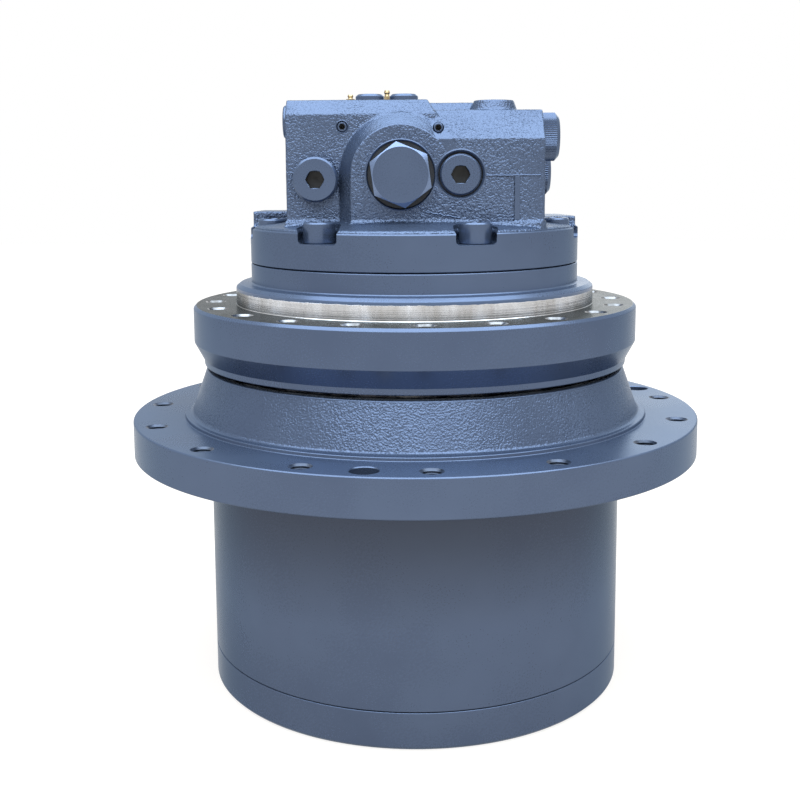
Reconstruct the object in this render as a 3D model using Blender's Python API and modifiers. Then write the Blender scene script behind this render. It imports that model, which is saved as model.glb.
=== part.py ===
"""Final drive of a crawler excavator: an axial piston motor in a flanged spindle, and a hub that turns
round it on two taper roller bearings, driven through a two-stage planetary reducer.
The origin is the bottom centre, +Z runs up the axis, and -Y is the front, with the spool cap.
"""

import math

import bmesh
import bpy
from mathutils import Matrix, Vector

MM = 0.001

# Facets
OUTER_SIDES = 28
ARCH_SIDES = 24
INNER_SIDES = 20
CORE_SIDES = 16
PIN_SIDES = 10
HOLE_SIDES = 8
INNER_HOLE_SIDES = 6

# Clearances
SEAT = 0.3 * MM
RUN = 0.6 * MM
SLOT = 4.0 * MM

# Gear train
MODULE = 4.0 * MM
PRESSURE_ANGLE = math.radians(25.0)
ADDENDUM = 0.9
DEDENDUM = 1.25
GEAR_RELIEF_STEP = 2.0 * MM
GEAR_RUNOUT = 5.0 * MM
TOOTH_BACKLASH = 0.16 * MM
RING_TEETH = 66
GEAR_RELIEF_RADIUS = (0.5 * RING_TEETH + DEDENDUM) * MODULE + GEAR_RELIEF_STEP
SUN_1_TEETH = 12
PLANET_1_TEETH = 27
PLANET_1_COUNT = 3
SUN_2_TEETH = 14
PLANET_2_TEETH = 26
PLANET_2_COUNT = 4
PLANET_1_WIDTH = 30.0 * MM
PLANET_2_WIDTH = 48.0 * MM
SUN_OVERHANG = 2.0 * MM
WASHER_GAP = 1.0 * MM
PIN_1_RADIUS = 16.0 * MM
PIN_2_RADIUS = 20.0 * MM
CARRIER_1_RADIUS = 104.0 * MM
CARRIER_1_PLATE = 17.0 * MM
CARRIER_2_RADIUS = 106.0 * MM
CARRIER_2_PLATE = 13.0 * MM
CARRIER_2_HUB_RADIUS = 58.0 * MM
CARRIER_2_HUB_HEIGHT = 14.0 * MM
CARRIER_BORE_RADIUS = 18.0 * MM
SUN_2_STUB_RADIUS = 22.5 * MM
SUN_2_BORE_RADIUS = 15.5 * MM

# Hub and sprocket flange
DRUM_WALL = 36.0 * MM
DRUM_RADIUS = GEAR_RELIEF_RADIUS + DRUM_WALL
DRUM_LENGTH = 167.0 * MM
REGISTER_STEP = 1.5 * MM
REGISTER_LENGTH = 6.0 * MM
HUB_FLANGE_WIDTH = 63.7 * MM
HUB_FLANGE_RADIUS = DRUM_RADIUS + HUB_FLANGE_WIDTH
HUB_FLANGE_THICKNESS = 30.0 * MM
FLANGE_CHAMFER = 1.7 * MM
BEAD_RADIUS = 196.0 * MM
BEAD_HEIGHT = 3.0 * MM
CONE_BASE_RADIUS = 189.5 * MM
LIP_RADIUS = 176.9 * MM
CONE_HEIGHT = 36.7 * MM
SPROCKET_HOLES = 15
SPROCKET_BOLT_EDGE = 16.7 * MM
SPROCKET_BOLT_RADIUS = HUB_FLANGE_RADIUS - SPROCKET_BOLT_EDGE
SPROCKET_FIRST_ANGLE = 3.0
JACK_HOLES = 3
JACK_HOLE_RADIUS = 10.5 * MM
M16_DRILL_RADIUS = 7.0 * MM

# End cover
COVER_HEIGHT = 30.0 * MM
COVER_CHAMFER = 2.7 * MM
COVER_RECESS_RADIUS = 122.0 * MM
COVER_RECESS = 6.0 * MM
COVER_WALL = 14.0 * MM
COVER_SPIGOT = 6.0 * MM
COVER_SPIGOT_WALL = 18.0 * MM
COVER_SCREWS = 12
COVER_SCREW_RADIUS = 158.0 * MM
COVER_COUNTERBORE = 12.0 * MM
COVER_COUNTERBORE_DEPTH = 14.0 * MM
THRUST_PAD_RADIUS = 24.0 * MM
THRUST_PAD_HEIGHT = 17.0 * MM
OIL_PLUGS = 2
OIL_PLUG_CIRCLE = 92.0 * MM
OIL_PLUG_RADIUS = 13.0 * MM
OIL_PLUG_HEAD = 4.0 * MM
OIL_PLUG_SHANK_RADIUS = 9.0 * MM

# Main bearings
NOSE_RADIUS = 91.0 * MM
NUT_WIDTH = 10.0 * MM
NUT_RADIUS = 111.0 * MM
NUT_GAP = 1.0 * MM
NUT_SLOTS = 4
NUT_SLOT_RADIUS = 5.0 * MM
BEARING_WIDTH = 32.0 * MM
RACE_TAPER = 3.0 * MM
RACE_WALL = 8.0 * MM
ROLLER_DIAMETER = 11.0 * MM
ROLLER_LENGTH = 24.0 * MM
ROLLER_PLAY = 0.35 * MM
ROLLER_COUNT = 10
ROLLER_SIDES = 6
CAGE_THICKNESS = 2.4 * MM
CAGE_HEIGHT = 28.0 * MM
LOWER_SEAT_RADIUS = 95.0 * MM
UPPER_SEAT_RADIUS = 125.0 * MM
RACE_SHOULDER = 6.0 * MM
SEAT_RELIEF = 2.0 * MM
WEB_NECK_STEP = 12.0 * MM

# Floating seal
SEAL_BORE_RADIUS = 171.0 * MM
SEAL_INNER_RADIUS = 152.0 * MM
SEAL_OUTER_RADIUS = 163.2 * MM
SEAL_RING_HEIGHT = 11.0 * MM
SEAL_NECK_RADIUS = 149.5 * MM
SEAL_POCKET_DEPTH = 12.0 * MM
TORIC_RADIUS = 3.4 * MM

# Spindle
SKIRT_RADIUS = 178.6 * MM
SKIRT_BAND = 5.0 * MM
SKIRT_CONE = 14.3 * MM
FRAME_FLANGE_RADIUS = 186.8 * MM
FRAME_FLANGE_THICKNESS = 30.0 * MM
FRAME_HOLES = 20
FRAME_BOLT_RADIUS = 169.5 * MM
FRAME_FIRST_ANGLE = 2.6
FRAME_HOLE_DEPTH = 26.0 * MM
PILOT_RADIUS = 151.0 * MM
PILOT_HEIGHT = 17.2 * MM
CASE_RADIUS = 138.0 * MM
CASE_HEIGHT = 17.3 * MM
CASE_BORE_RADIUS = 104.0 * MM
BRAKE_LEDGE_RADIUS = 90.0 * MM
BRAKE_LEDGE_DEPTH = 44.0 * MM
CASE_DEPTH = 122.0 * MM
SHAFT_BEARING_BORE = 36.0 * MM
SHAFT_BEARING_WIDTH = 20.0 * MM
SHAFT_SEAL_BORE = 28.0 * MM
SHAFT_SEAL_WIDTH = 10.0 * MM
SHAFT_TUNNEL_RADIUS = 21.0 * MM

# Motor
SHAFT_RADIUS = 13.0 * MM
SHAFT_JOURNAL_RADIUS = 17.0 * MM
SHAFT_END_ROOM = 3.0 * MM
SHAFT_RING_GAP = 6.0 * MM
SHAFT_TOP_BEARING_DEPTH = 18.0 * MM
VALVE_PLATE_RADIUS = 60.0 * MM
VALVE_PLATE_THICKNESS = 4.0 * MM
VALVE_PLATE_GAP = 3.0 * MM
KIDNEY_HALF_ANGLE = math.radians(62.0)
BLOCK_RADIUS = 58.0 * MM
BLOCK_LENGTH = 62.0 * MM
BLOCK_COLLAR_RADIUS = 62.0 * MM
BLOCK_COLLAR_MARGIN = 3.0 * MM
PISTONS = 9
PISTON_CIRCLE = 41.0 * MM
PISTON_RADIUS = 9.0 * MM
PISTON_DEPTH = 30.0 * MM
PISTON_EXPOSED = 14.0 * MM
RETAINER_RADIUS = 56.0 * MM
RETAINER_THICKNESS = 4.0 * MM
SHOE_HEIGHT = 5.0 * MM
SWASH_RADIUS = 66.0 * MM
SWASH_FACE_WIDTH = 120.0 * MM
DISC_THICKNESS = 3.0 * MM
DISC_OUTER_RADIUS = 98.0 * MM
BRAKE_PISTON_HEIGHT = 20.0 * MM
BRAKE_PISTON_INNER = 72.0 * MM
DISC_SPRING_THICKNESS = 3.0 * MM
DISC_SPRING_INNER = 80.0 * MM

# Rear cover and valve block
REAR_FLANGE_THICKNESS = 30.6 * MM
REAR_SHOULDER_RADIUS = 134.5 * MM
REAR_CROWN = 4.5 * MM
REAR_CROWN_RADIUS = 98.0 * MM
REAR_SHOULDER_RISE = 1.0 * MM
REAR_EDGE_DROP = 2.0 * MM
REAR_SPIGOT = 5.0 * MM
REAR_BOLT_RADIUS = 119.0 * MM
REAR_BOLT_ANGLES = (-80.0, -38.0, 23.0, 76.0, 125.0, 165.0, -155.0, -115.0)
NOTCH_ANGLES = (-80.0, 0.0, 0.0, 76.0, 125.0, 180.0, 180.0, -115.0)
NOTCH_ARC_STEPS = 6
NOTCH_RADIUS = 15.5 * MM
NOTCH_DEPTH = 10.6 * MM
NOTCH_CUT_HEIGHT = 24.0 * MM
BOLT_HEAD_RADIUS = 12.4 * MM
BOLT_HEAD_HEIGHT = 16.0 * MM
BOLT_SHANK_RADIUS = 8.0 * MM
BOLT_GRIP = 38.0 * MM
BLOCK_RIGHT_X = 101.0 * MM
BLOCK_LEFT_X = -100.0 * MM
BLOCK_FRONT_Y = -92.0 * MM
BLOCK_RECESS = 16.0 * MM
BLOCK_BACK_Y = 90.0 * MM
BLOCK_WAIST_Y = 38.0 * MM
BLOCK_WAIST_X = 82.0 * MM
BLOCK_RIGHT_HEIGHT = 91.5 * MM
BLOCK_LEFT_HEIGHT = 100.0 * MM
BLOCK_RIGHT_BEVEL = 22.6 * MM
BLOCK_LEFT_BEVEL = 11.3 * MM
BLOCK_ROOT = 5.0 * MM
BLOCK_STEP_X = 11.0 * MM
LAND_RIGHT_X = 48.0 * MM
LAND_FRONT_Y = -50.0 * MM
LAND_SLOPE = 7.0 * MM
PAD_INNER_X = 95.0 * MM
PAD_ROOT = 3.0 * MM
PAD_SIZES = ((-1, -5.0 * MM, 35.0 * MM, 11.0 * MM), (1, -10.0 * MM, 50.0 * MM, 6.0 * MM))
BOSS_X = 64.0 * MM
BOSS_Y = -50.0 * MM
BOSS_BASE_RADIUS = 19.7 * MM
BOSS_TOP_RADIUS = 15.8 * MM
BOSS_HEIGHT = 8.0 * MM

# Spool, caps and plugs
SPOOL_X = -9.9 * MM
SPOOL_RISE = 41.5 * MM
ARCH_FRONT_RADIUS = 38.5 * MM
ARCH_BACK_RADIUS = 48.5 * MM
CAP_ACROSS_FLATS = 44.0 * MM
CAP_TURN = 7.7
CAP_HEAD = 15.0 * MM
CAP_CROWN_RADIUS = 20.7 * MM
CAP_SKIRT_RADIUS = 27.3 * MM
CAP_CROWN_DROP = 4.0 * MM
CAP_SPOTFACE_RADIUS = 26.3 * MM
CAP_SPOTFACE_DEPTH = 2.0 * MM
CAP_SHANK_RADIUS = 18.0 * MM
CAP_SHANK_LENGTH = 20.0 * MM
SPOOL_RADIUS = 12.0 * MM
SPOOL_LENGTH = 96.0 * MM
SPOOL_TRAVEL = 5.0 * MM
SPOOL_NECK_RADIUS = 7.2 * MM
SPOOL_NECK_LENGTH = 38.4 * MM
RIGHT_PLUG_X = 36.1 * MM
LEFT_PLUG_X = -76.6 * MM
LEFT_PLUG_DROP = 3.4 * MM
RIGHT_PLUG_RADIUS = 16.0 * MM
RIGHT_SPOTFACE_RADIUS = 19.1 * MM
RIGHT_SPOTFACE_DEPTH = 5.0 * MM
RIGHT_PLUG_HEAD = 5.5 * MM
LEFT_PLUG_RADIUS = 17.6 * MM
LEFT_PLUG_HEAD = 9.0 * MM
PLUG_SHANK_RADIUS = 11.0 * MM
PLUG_SHANK_LENGTH = 20.0 * MM
PLUG_CHAMFER = 1.2 * MM
PLUG_SEAT_SINK = 0.5 * MM
PLUG_SOCKET_FLATS = 13.0 * MM
PLUG_SOCKET_DEPTH = 8.0 * MM
ORIFICE_RADIUS = 4.2 * MM
ORIFICE_LENGTH = 10.0 * MM
ORIFICE_SINK = 1.5 * MM
ORIFICE_PLACES = ((-55.6 * MM, 78.8 * MM, True), (19.2 * MM, 77.4 * MM, False))
RELIEF_RADIUS = 19.0 * MM
RELIEF_HEAD = 13.8 * MM
RELIEF_CHAMFER = 3.5 * MM
RELIEF_SHANK_RADIUS = 12.0 * MM
RELIEF_SHANK_LENGTH = 26.0 * MM
RELIEF_PLACES = ((-55.0 * MM, 70.6 * MM), (4.0 * MM, 43.0 * MM))
SIDE_PLUG_RADIUS = 13.2 * MM
SIDE_PLUG_HEAD = 4.6 * MM
SIDE_PLUG_Y = -40.0 * MM
SIDE_PLUG_RISE = 84.0 * MM
PORT_CAP_RADIUS = 11.7 * MM
PORT_CAP_HEIGHT = 5.0 * MM
PORT_CAP_PLACES = ((-35.6 * MM, -24.0 * MM), (-7.8 * MM, -24.0 * MM))
PORT_CAP_SHANK_RADIUS = 8.0 * MM
PORT_CAP_SHANK_LENGTH = 14.0 * MM
PORT_WASHER_RADIUS = 12.6 * MM
PORT_WASHER_THICKNESS = 1.0 * MM
BLEED_PLACES = ((-22.2 * MM, 5.0 * MM, 11.5 * MM), (-53.0 * MM, 5.0 * MM, 8.0 * MM))
BLEED_RADIUS = 3.6 * MM
BLEED_SHANK_RADIUS = 2.5 * MM
BLEED_SHANK_LENGTH = 8.0 * MM
BLEED_CHAMFER = 0.8 * MM
MAIN_PORT_X = 34.0 * MM
MAIN_PORT_RISE = 46.0 * MM
MAIN_PORT_RADIUS = 14.0 * MM
MAIN_PORT_DEPTH = 34.0 * MM
MAIN_PORT_FACE_RADIUS = 27.0 * MM
MAIN_PORT_FACE_DEPTH = 1.5 * MM

# Heights up the outside
Z_COVER_JOINT = COVER_HEIGHT
Z_HUB_FLANGE = Z_COVER_JOINT + DRUM_LENGTH
Z_HUB_FACE = Z_HUB_FLANGE + HUB_FLANGE_THICKNESS
Z_BEAD = Z_HUB_FACE + BEAD_HEIGHT
Z_LIP = Z_BEAD + CONE_HEIGHT
Z_SKIRT = Z_LIP + SLOT
Z_FRAME_FLANGE = Z_SKIRT + SKIRT_BAND + SKIRT_CONE
Z_FRAME_FACE = Z_FRAME_FLANGE + FRAME_FLANGE_THICKNESS
Z_PILOT = Z_FRAME_FACE + PILOT_HEIGHT
Z_CASE = Z_PILOT + CASE_HEIGHT
Z_REAR_FACE = Z_CASE + REAR_FLANGE_THICKNESS
Z_BLOCK_LEFT = Z_REAR_FACE + BLOCK_LEFT_HEIGHT
Z_BLOCK_RIGHT = Z_REAR_FACE + BLOCK_RIGHT_HEIGHT
Z_SPOOL = Z_REAR_FACE + SPOOL_RISE

# Heights up the reducer, from the end cover
Z_COVER_FLOOR = COVER_RECESS + COVER_WALL
Z_PAD = Z_COVER_FLOOR + THRUST_PAD_HEIGHT
Z_SUN_1 = Z_PAD + SEAT + SHAFT_END_ROOM
Z_PLANET_1 = Z_SUN_1 + SUN_OVERHANG
Z_CARRIER_1 = Z_PLANET_1 + PLANET_1_WIDTH + WASHER_GAP
Z_SUN_2 = Z_CARRIER_1 + CARRIER_1_PLATE
Z_PLANET_2 = Z_SUN_2 + SUN_OVERHANG
Z_CARRIER_2 = Z_PLANET_2 + PLANET_2_WIDTH + WASHER_GAP
Z_NOSE = Z_CARRIER_2 + CARRIER_2_PLATE + SEAT
Z_LOWER_RACE = Z_NOSE + NUT_GAP + NUT_WIDTH + SEAT
Z_LOWER_SHOULDER = Z_LOWER_RACE + BEARING_WIDTH + SEAT
Z_GEAR_LOW = Z_COVER_JOINT + COVER_SPIGOT
Z_GEAR_HIGH = Z_CARRIER_2

# Heights down the main bearing and the seal, from the hub's lip
Z_SEAL_FLOOR = Z_LIP - SEAL_POCKET_DEPTH
Z_UPPER_STOP = Z_SEAL_FLOOR
Z_UPPER_RACE = Z_UPPER_STOP - SEAT - BEARING_WIDTH
Z_UPPER_SHOULDER = Z_UPPER_RACE - SEAT
Z_SEAL_CEILING = Z_SKIRT + SEAL_POCKET_DEPTH
Z_SEAL_CONTACT = 0.5 * (Z_LIP + Z_SKIRT)

# Heights down the motor, from the rear cover
Z_SPIGOT = Z_CASE - REAR_SPIGOT
Z_VALVE_PLATE = Z_SPIGOT - SEAT - VALVE_PLATE_THICKNESS
Z_BLOCK_TOP = Z_VALVE_PLATE - SEAT
Z_BLOCK_LOW = Z_BLOCK_TOP - BLOCK_LENGTH
Z_RETAINER = Z_BLOCK_LOW - PISTON_EXPOSED
Z_SWASH_FACE = Z_RETAINER - SHOE_HEIGHT
Z_CASE_FLOOR = Z_CASE - CASE_DEPTH
Z_BRAKE_LEDGE = Z_CASE - BRAKE_LEDGE_DEPTH
Z_SHAFT_BEARING = Z_CASE_FLOOR - SHAFT_BEARING_WIDTH
Z_SHAFT_SEAL = Z_SHAFT_BEARING - SHAFT_SEAL_WIDTH

PARTS = None
CUTTERS = None

PAINT_COLOURS = {
    "slate_paint": ((0.13, 0.17, 0.25, 1.0), 0.42, 0.25),
    "bare_steel": ((0.55, 0.54, 0.52, 1.0), 0.30, 1.0),
    "gear_steel": ((0.42, 0.42, 0.43, 1.0), 0.35, 1.0),
    "bearing_steel": ((0.62, 0.62, 0.63, 1.0), 0.22, 1.0),
    "cast_iron": ((0.20, 0.20, 0.21, 1.0), 0.60, 0.8),
    "bronze": ((0.55, 0.36, 0.16, 1.0), 0.40, 1.0),
    "black_rubber": ((0.02, 0.02, 0.02, 1.0), 0.70, 0.0),
    "yellow_zinc": ((0.60, 0.38, 0.12, 1.0), 0.35, 1.0),
}


def start_scene():
    """Empty the scene and make the two collections."""
    global PARTS, CUTTERS
    for thing in list(bpy.data.objects):
        bpy.data.objects.remove(thing, do_unlink=True)
    PARTS = bpy.data.collections.new("final_drive")
    CUTTERS = bpy.data.collections.new("cutters")
    bpy.context.scene.collection.children.link(PARTS)
    bpy.context.scene.collection.children.link(CUTTERS)


def make_paint(slot, part_name):
    """A Principled material of one finish for one part."""
    colour, roughness, metallic = PAINT_COLOURS[slot]
    paint = bpy.data.materials.new(part_name + "_" + slot)
    paint.use_nodes = True
    shader = paint.node_tree.nodes["Principled BSDF"]
    shader.inputs["Base Color"].default_value = colour
    shader.inputs["Roughness"].default_value = roughness
    shader.inputs["Metallic"].default_value = metallic
    paint.diffuse_color = colour
    return paint


def add_object(name, mesh, slot=None):
    """Link a mesh as a part with its finish, or as a cutter when it has none."""
    thing = bpy.data.objects.new(name, mesh)
    if slot is None:
        CUTTERS.objects.link(thing)
        thing.hide_render = True
        thing.display_type = "WIRE"
    else:
        PARTS.objects.link(thing)
        mesh.materials.append(make_paint(slot, name))
    return thing


def settle(thing):
    """Apply the modifiers and shade the round faces smooth."""
    bpy.context.view_layer.update()
    view = bpy.context.evaluated_depsgraph_get()
    mesh = bpy.data.meshes.new_from_object(thing.evaluated_get(view))
    thing.modifiers.clear()
    thing.data = mesh
    mesh.shade_smooth()
    mesh.set_sharp_from_angle(angle=math.radians(35.0))
    return thing


def turned(name, profile, slot=None, sides=INNER_SIDES, closed=True):
    """Turn a profile of (radius, height) points, listed down the outer side, about +Z."""
    mesh = bpy.data.meshes.new(name)
    points = [(radius, 0.0, height) for radius, height in profile]
    edges = [(i, i + 1) for i in range(len(points) - 1)]
    if closed:
        edges.append((len(points) - 1, 0))
    mesh.from_pydata(points, edges, [])
    thing = add_object(name, mesh, slot)
    screw = thing.modifiers.new("turn", "SCREW")
    screw.axis = "Z"
    screw.angle = math.tau
    screw.steps = sides
    screw.render_steps = sides
    screw.use_merge_vertices = True
    screw.merge_threshold = 0.00001
    screw.use_smooth_shade = True
    return settle(thing)


def solid_turned(name, profile, slot=None, sides=INNER_SIDES):
    """Turn a profile that starts and ends on the axis."""
    return turned(name, profile, slot, sides, closed=False)


def tube_profile(inner, outer, low, high):
    """The section of a plain ring."""
    return [(outer, high), (outer, low), (inner, low), (inner, high)]


def rod_profile(radius, low, high):
    """The half section of a plain rod."""
    return [(0.0, high), (radius, high), (radius, low), (0.0, low)]


def plate(name, loops, low, high, slot=None):
    """A flat outline, with its holes, between two heights."""
    curve = bpy.data.curves.new(name, "CURVE")
    curve.dimensions = "2D"
    curve.fill_mode = "BOTH"
    curve.extrude = 0.5 * (high - low)
    for loop in loops:
        spline = curve.splines.new("POLY")
        spline.points.add(len(loop) - 1)
        for point, (x, y) in zip(spline.points, loop):
            point.co = (x, y, 0.0, 1.0)
        spline.use_cyclic_u = True
    outline = bpy.data.objects.new(name + "_outline", curve)
    CUTTERS.objects.link(outline)
    bpy.context.view_layer.update()
    view = bpy.context.evaluated_depsgraph_get()
    mesh = bpy.data.meshes.new_from_object(outline.evaluated_get(view))
    bpy.data.objects.remove(outline, do_unlink=True)
    mesh.materials.clear()
    shape = bmesh.new()
    shape.from_mesh(mesh)
    bmesh.ops.remove_doubles(shape, verts=shape.verts, dist=0.000001)
    bmesh.ops.translate(shape, verts=shape.verts, vec=(0.0, 0.0, 0.5 * (low + high)))
    bmesh.ops.recalc_face_normals(shape, faces=shape.faces)
    shape.to_mesh(mesh)
    shape.free()
    mesh.shade_smooth()
    mesh.set_sharp_from_angle(angle=math.radians(25.0))
    return add_object(name, mesh, slot)


def rods(name, places, radius, low, high, slot=None, sides=HOLE_SIDES):
    """Upright cylinders at the given places, between two heights, with a corner towards +X."""
    shape = bmesh.new()
    for x, y in places:
        place = Matrix.Translation((x, y, 0.5 * (low + high))) @ Matrix.Rotation(-0.5 * math.pi, 4, "Z")
        bmesh.ops.create_cone(shape, cap_ends=True, segments=sides, radius1=radius, radius2=radius,
                              depth=high - low, matrix=place)
    mesh = bpy.data.meshes.new(name)
    shape.to_mesh(mesh)
    shape.free()
    return add_object(name, mesh, slot)


def box(name, low, high, slot=None):
    """A box between two corners."""
    low, high = Vector(low), Vector(high)
    shape = bmesh.new()
    size = Matrix.Diagonal((*(high - low), 1.0))
    bmesh.ops.create_cube(shape, size=1.0, matrix=Matrix.Translation(0.5 * (low + high)) @ size)
    mesh = bpy.data.meshes.new(name)
    shape.to_mesh(mesh)
    shape.free()
    return add_object(name, mesh, slot)


def combine(target, other, operation):
    """Join, cut or intersect two solids with an exact Boolean."""
    if other.name in PARTS.objects:
        PARTS.objects.unlink(other)
        CUTTERS.objects.link(other)
        other.hide_render = True
        other.display_type = "WIRE"
    boolean = target.modifiers.new(other.name, "BOOLEAN")
    boolean.operation = operation
    boolean.solver = "EXACT"
    boolean.object = other
    return target


def cut(target, cutter):
    return combine(target, cutter, "DIFFERENCE")


def join(target, other):
    return combine(target, other, "UNION")


def circle_places(count, radius, first_angle=0.0):
    """Places round the axis; the first angle is in degrees from the front, -Y, towards +X."""
    places = []
    for index in range(count):
        angle = math.radians(first_angle - 90.0 + index * 360.0 / count)
        places.append((radius * math.cos(angle), radius * math.sin(angle)))
    return places


def front_place(radius, angle):
    return circle_places(1, radius, angle)[0]


def circle_loop(radius, sides, phase=0.0, centre=(0.0, 0.0)):
    """A regular polygon's corners."""
    step = math.tau / sides
    return [(centre[0] + radius * math.cos(phase + i * step),
             centre[1] + radius * math.sin(phase + i * step)) for i in range(sides)]


def round_bore(radius, sides):
    """The corner radius of a polygon that a circle of this radius just fits in."""
    return radius / math.cos(math.pi / sides)


def hexagon(across_flats, turn=0.0):
    return circle_loop(across_flats / math.sqrt(3.0), 6, turn)


def aim(thing, location, direction):
    """Turn a solid made along +Z to point another way, and put it in its place."""
    turn = Vector((0.0, 0.0, 1.0)).rotation_difference(Vector(direction))
    thing.matrix_world = Matrix.Translation(location) @ turn.to_matrix().to_4x4()
    bpy.context.view_layer.update()
    return thing


def involute(angle):
    return math.tan(angle) - angle


def half_tooth_angle(teeth, radius, thinning):
    """Half of a tooth's angle at a radius, for an involute tooth thinned at its pitch circle."""
    pitch = 0.5 * teeth * MODULE
    base = pitch * math.cos(PRESSURE_ANGLE)
    angle = math.acos(min(1.0, base / radius))
    return math.pi / (2 * teeth) + involute(PRESSURE_ANGLE) - involute(angle) - 0.5 * thinning / pitch


def gear_loop(teeth, phase=0.0, internal=False):
    """The outline of a spur gear, or of the space inside an internal gear, four points to a tooth."""
    pitch = 0.5 * teeth * MODULE
    tip = pitch + (DEDENDUM if internal else ADDENDUM) * MODULE
    root = pitch - (ADDENDUM if internal else DEDENDUM) * MODULE
    thinning = -TOOTH_BACKLASH if internal else TOOTH_BACKLASH
    centre = phase + (math.pi / teeth if internal else 0.0)
    loop = []
    for tooth in range(teeth):
        middle = centre + tooth * math.tau / teeth
        for radius in (root, tip):
            angle = middle - half_tooth_angle(teeth, radius, thinning)
            loop.append((radius * math.cos(angle), radius * math.sin(angle)))
        for radius in (tip, root):
            angle = middle + half_tooth_angle(teeth, radius, thinning)
            loop.append((radius * math.cos(angle), radius * math.sin(angle)))
    return loop


def planet_places(sun_teeth, planet_teeth, count):
    """Each planet's centre, and the turn that puts its teeth in mesh."""
    distance = 0.5 * (sun_teeth + planet_teeth) * MODULE
    places = []
    for index in range(count):
        angle = index * math.tau / count
        turn = math.pi / planet_teeth + (1.0 + sun_teeth / planet_teeth) * angle
        places.append((distance * math.cos(angle), distance * math.sin(angle), turn))
    return places


def make_hub():
    """The drum with the sprocket flange, the ring gear and the bearing bores, in one casting."""
    lower_bore = race_outer_radius(LOWER_SEAT_RADIUS) + SEAT
    upper_bore = race_outer_radius(UPPER_SEAT_RADIUS) + SEAT
    web_bore = lower_bore - RACE_SHOULDER
    register = DRUM_RADIUS + REGISTER_STEP
    low = Z_COVER_JOINT + 0.5 * SEAT
    hub = solid_turned("hub", [
        (0.0, Z_LIP),
        (LIP_RADIUS, Z_LIP),
        (CONE_BASE_RADIUS, Z_BEAD),
        (BEAD_RADIUS, Z_BEAD),
        (BEAD_RADIUS, Z_HUB_FACE),
        (HUB_FLANGE_RADIUS - FLANGE_CHAMFER, Z_HUB_FACE),
        (HUB_FLANGE_RADIUS, Z_HUB_FACE - FLANGE_CHAMFER),
        (HUB_FLANGE_RADIUS, Z_HUB_FLANGE),
        (register, Z_HUB_FLANGE),
        (register, Z_HUB_FLANGE - REGISTER_LENGTH),
        (DRUM_RADIUS, Z_HUB_FLANGE - REGISTER_LENGTH - REGISTER_STEP),
        (DRUM_RADIUS, low),
        (0.0, low),
    ], "slate_paint", OUTER_SIDES)
    cut(hub, solid_turned("hub_bores", [
        (0.0, Z_LIP + MM),
        (SEAL_BORE_RADIUS, Z_LIP + MM),
        (SEAL_BORE_RADIUS, Z_SEAL_FLOOR),
        (upper_bore, Z_SEAL_FLOOR),
        (upper_bore, Z_UPPER_SHOULDER),
        (web_bore, Z_UPPER_SHOULDER),
        (web_bore, Z_LOWER_SHOULDER),
        (lower_bore, Z_LOWER_SHOULDER),
        (lower_bore, low - MM),
        (0.0, low - MM),
    ]))
    relief = round_bore(GEAR_RELIEF_RADIUS, INNER_SIDES)
    cut(hub, solid_turned("cover_register", rod_profile(relief, low - MM, Z_GEAR_LOW)))
    cut(hub, solid_turned("gear_runout", rod_profile(relief, Z_GEAR_HIGH, Z_GEAR_HIGH + GEAR_RUNOUT)))
    settle(hub)
    cut(hub, plate("ring_gear_space", [gear_loop(RING_TEETH, internal=True)], Z_GEAR_LOW - MM,
                   Z_GEAR_HIGH + MM))
    settle(hub)
    cut(hub, rods("sprocket_taps", circle_places(SPROCKET_HOLES, SPROCKET_BOLT_RADIUS, SPROCKET_FIRST_ANGLE),
                  M16_DRILL_RADIUS, Z_HUB_FLANGE - MM, Z_HUB_FACE + MM))
    halfway = SPROCKET_FIRST_ANGLE - 180.0 / SPROCKET_HOLES
    cut(hub, rods("jack_holes", circle_places(JACK_HOLES, SPROCKET_BOLT_RADIUS, halfway),
                  JACK_HOLE_RADIUS, Z_HUB_FLANGE - MM, Z_HUB_FACE + MM))
    return settle(hub)


def race_inner_radius(seat_radius):
    """An inner race's corner radius, for a bore that clears the round seat."""
    return round_bore(seat_radius + SEAT, INNER_SIDES)


def race_outer_radius(seat_radius):
    """An outer race's radius, outside the inner race, the rollers and its own wall."""
    return race_inner_radius(seat_radius) + 2.0 * RACE_WALL + RACE_TAPER + roller_space()


def roller_space():
    """The radial room that a row of rollers takes between its races."""
    return ROLLER_DIAMETER + 2.0 * ROLLER_PLAY


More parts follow.
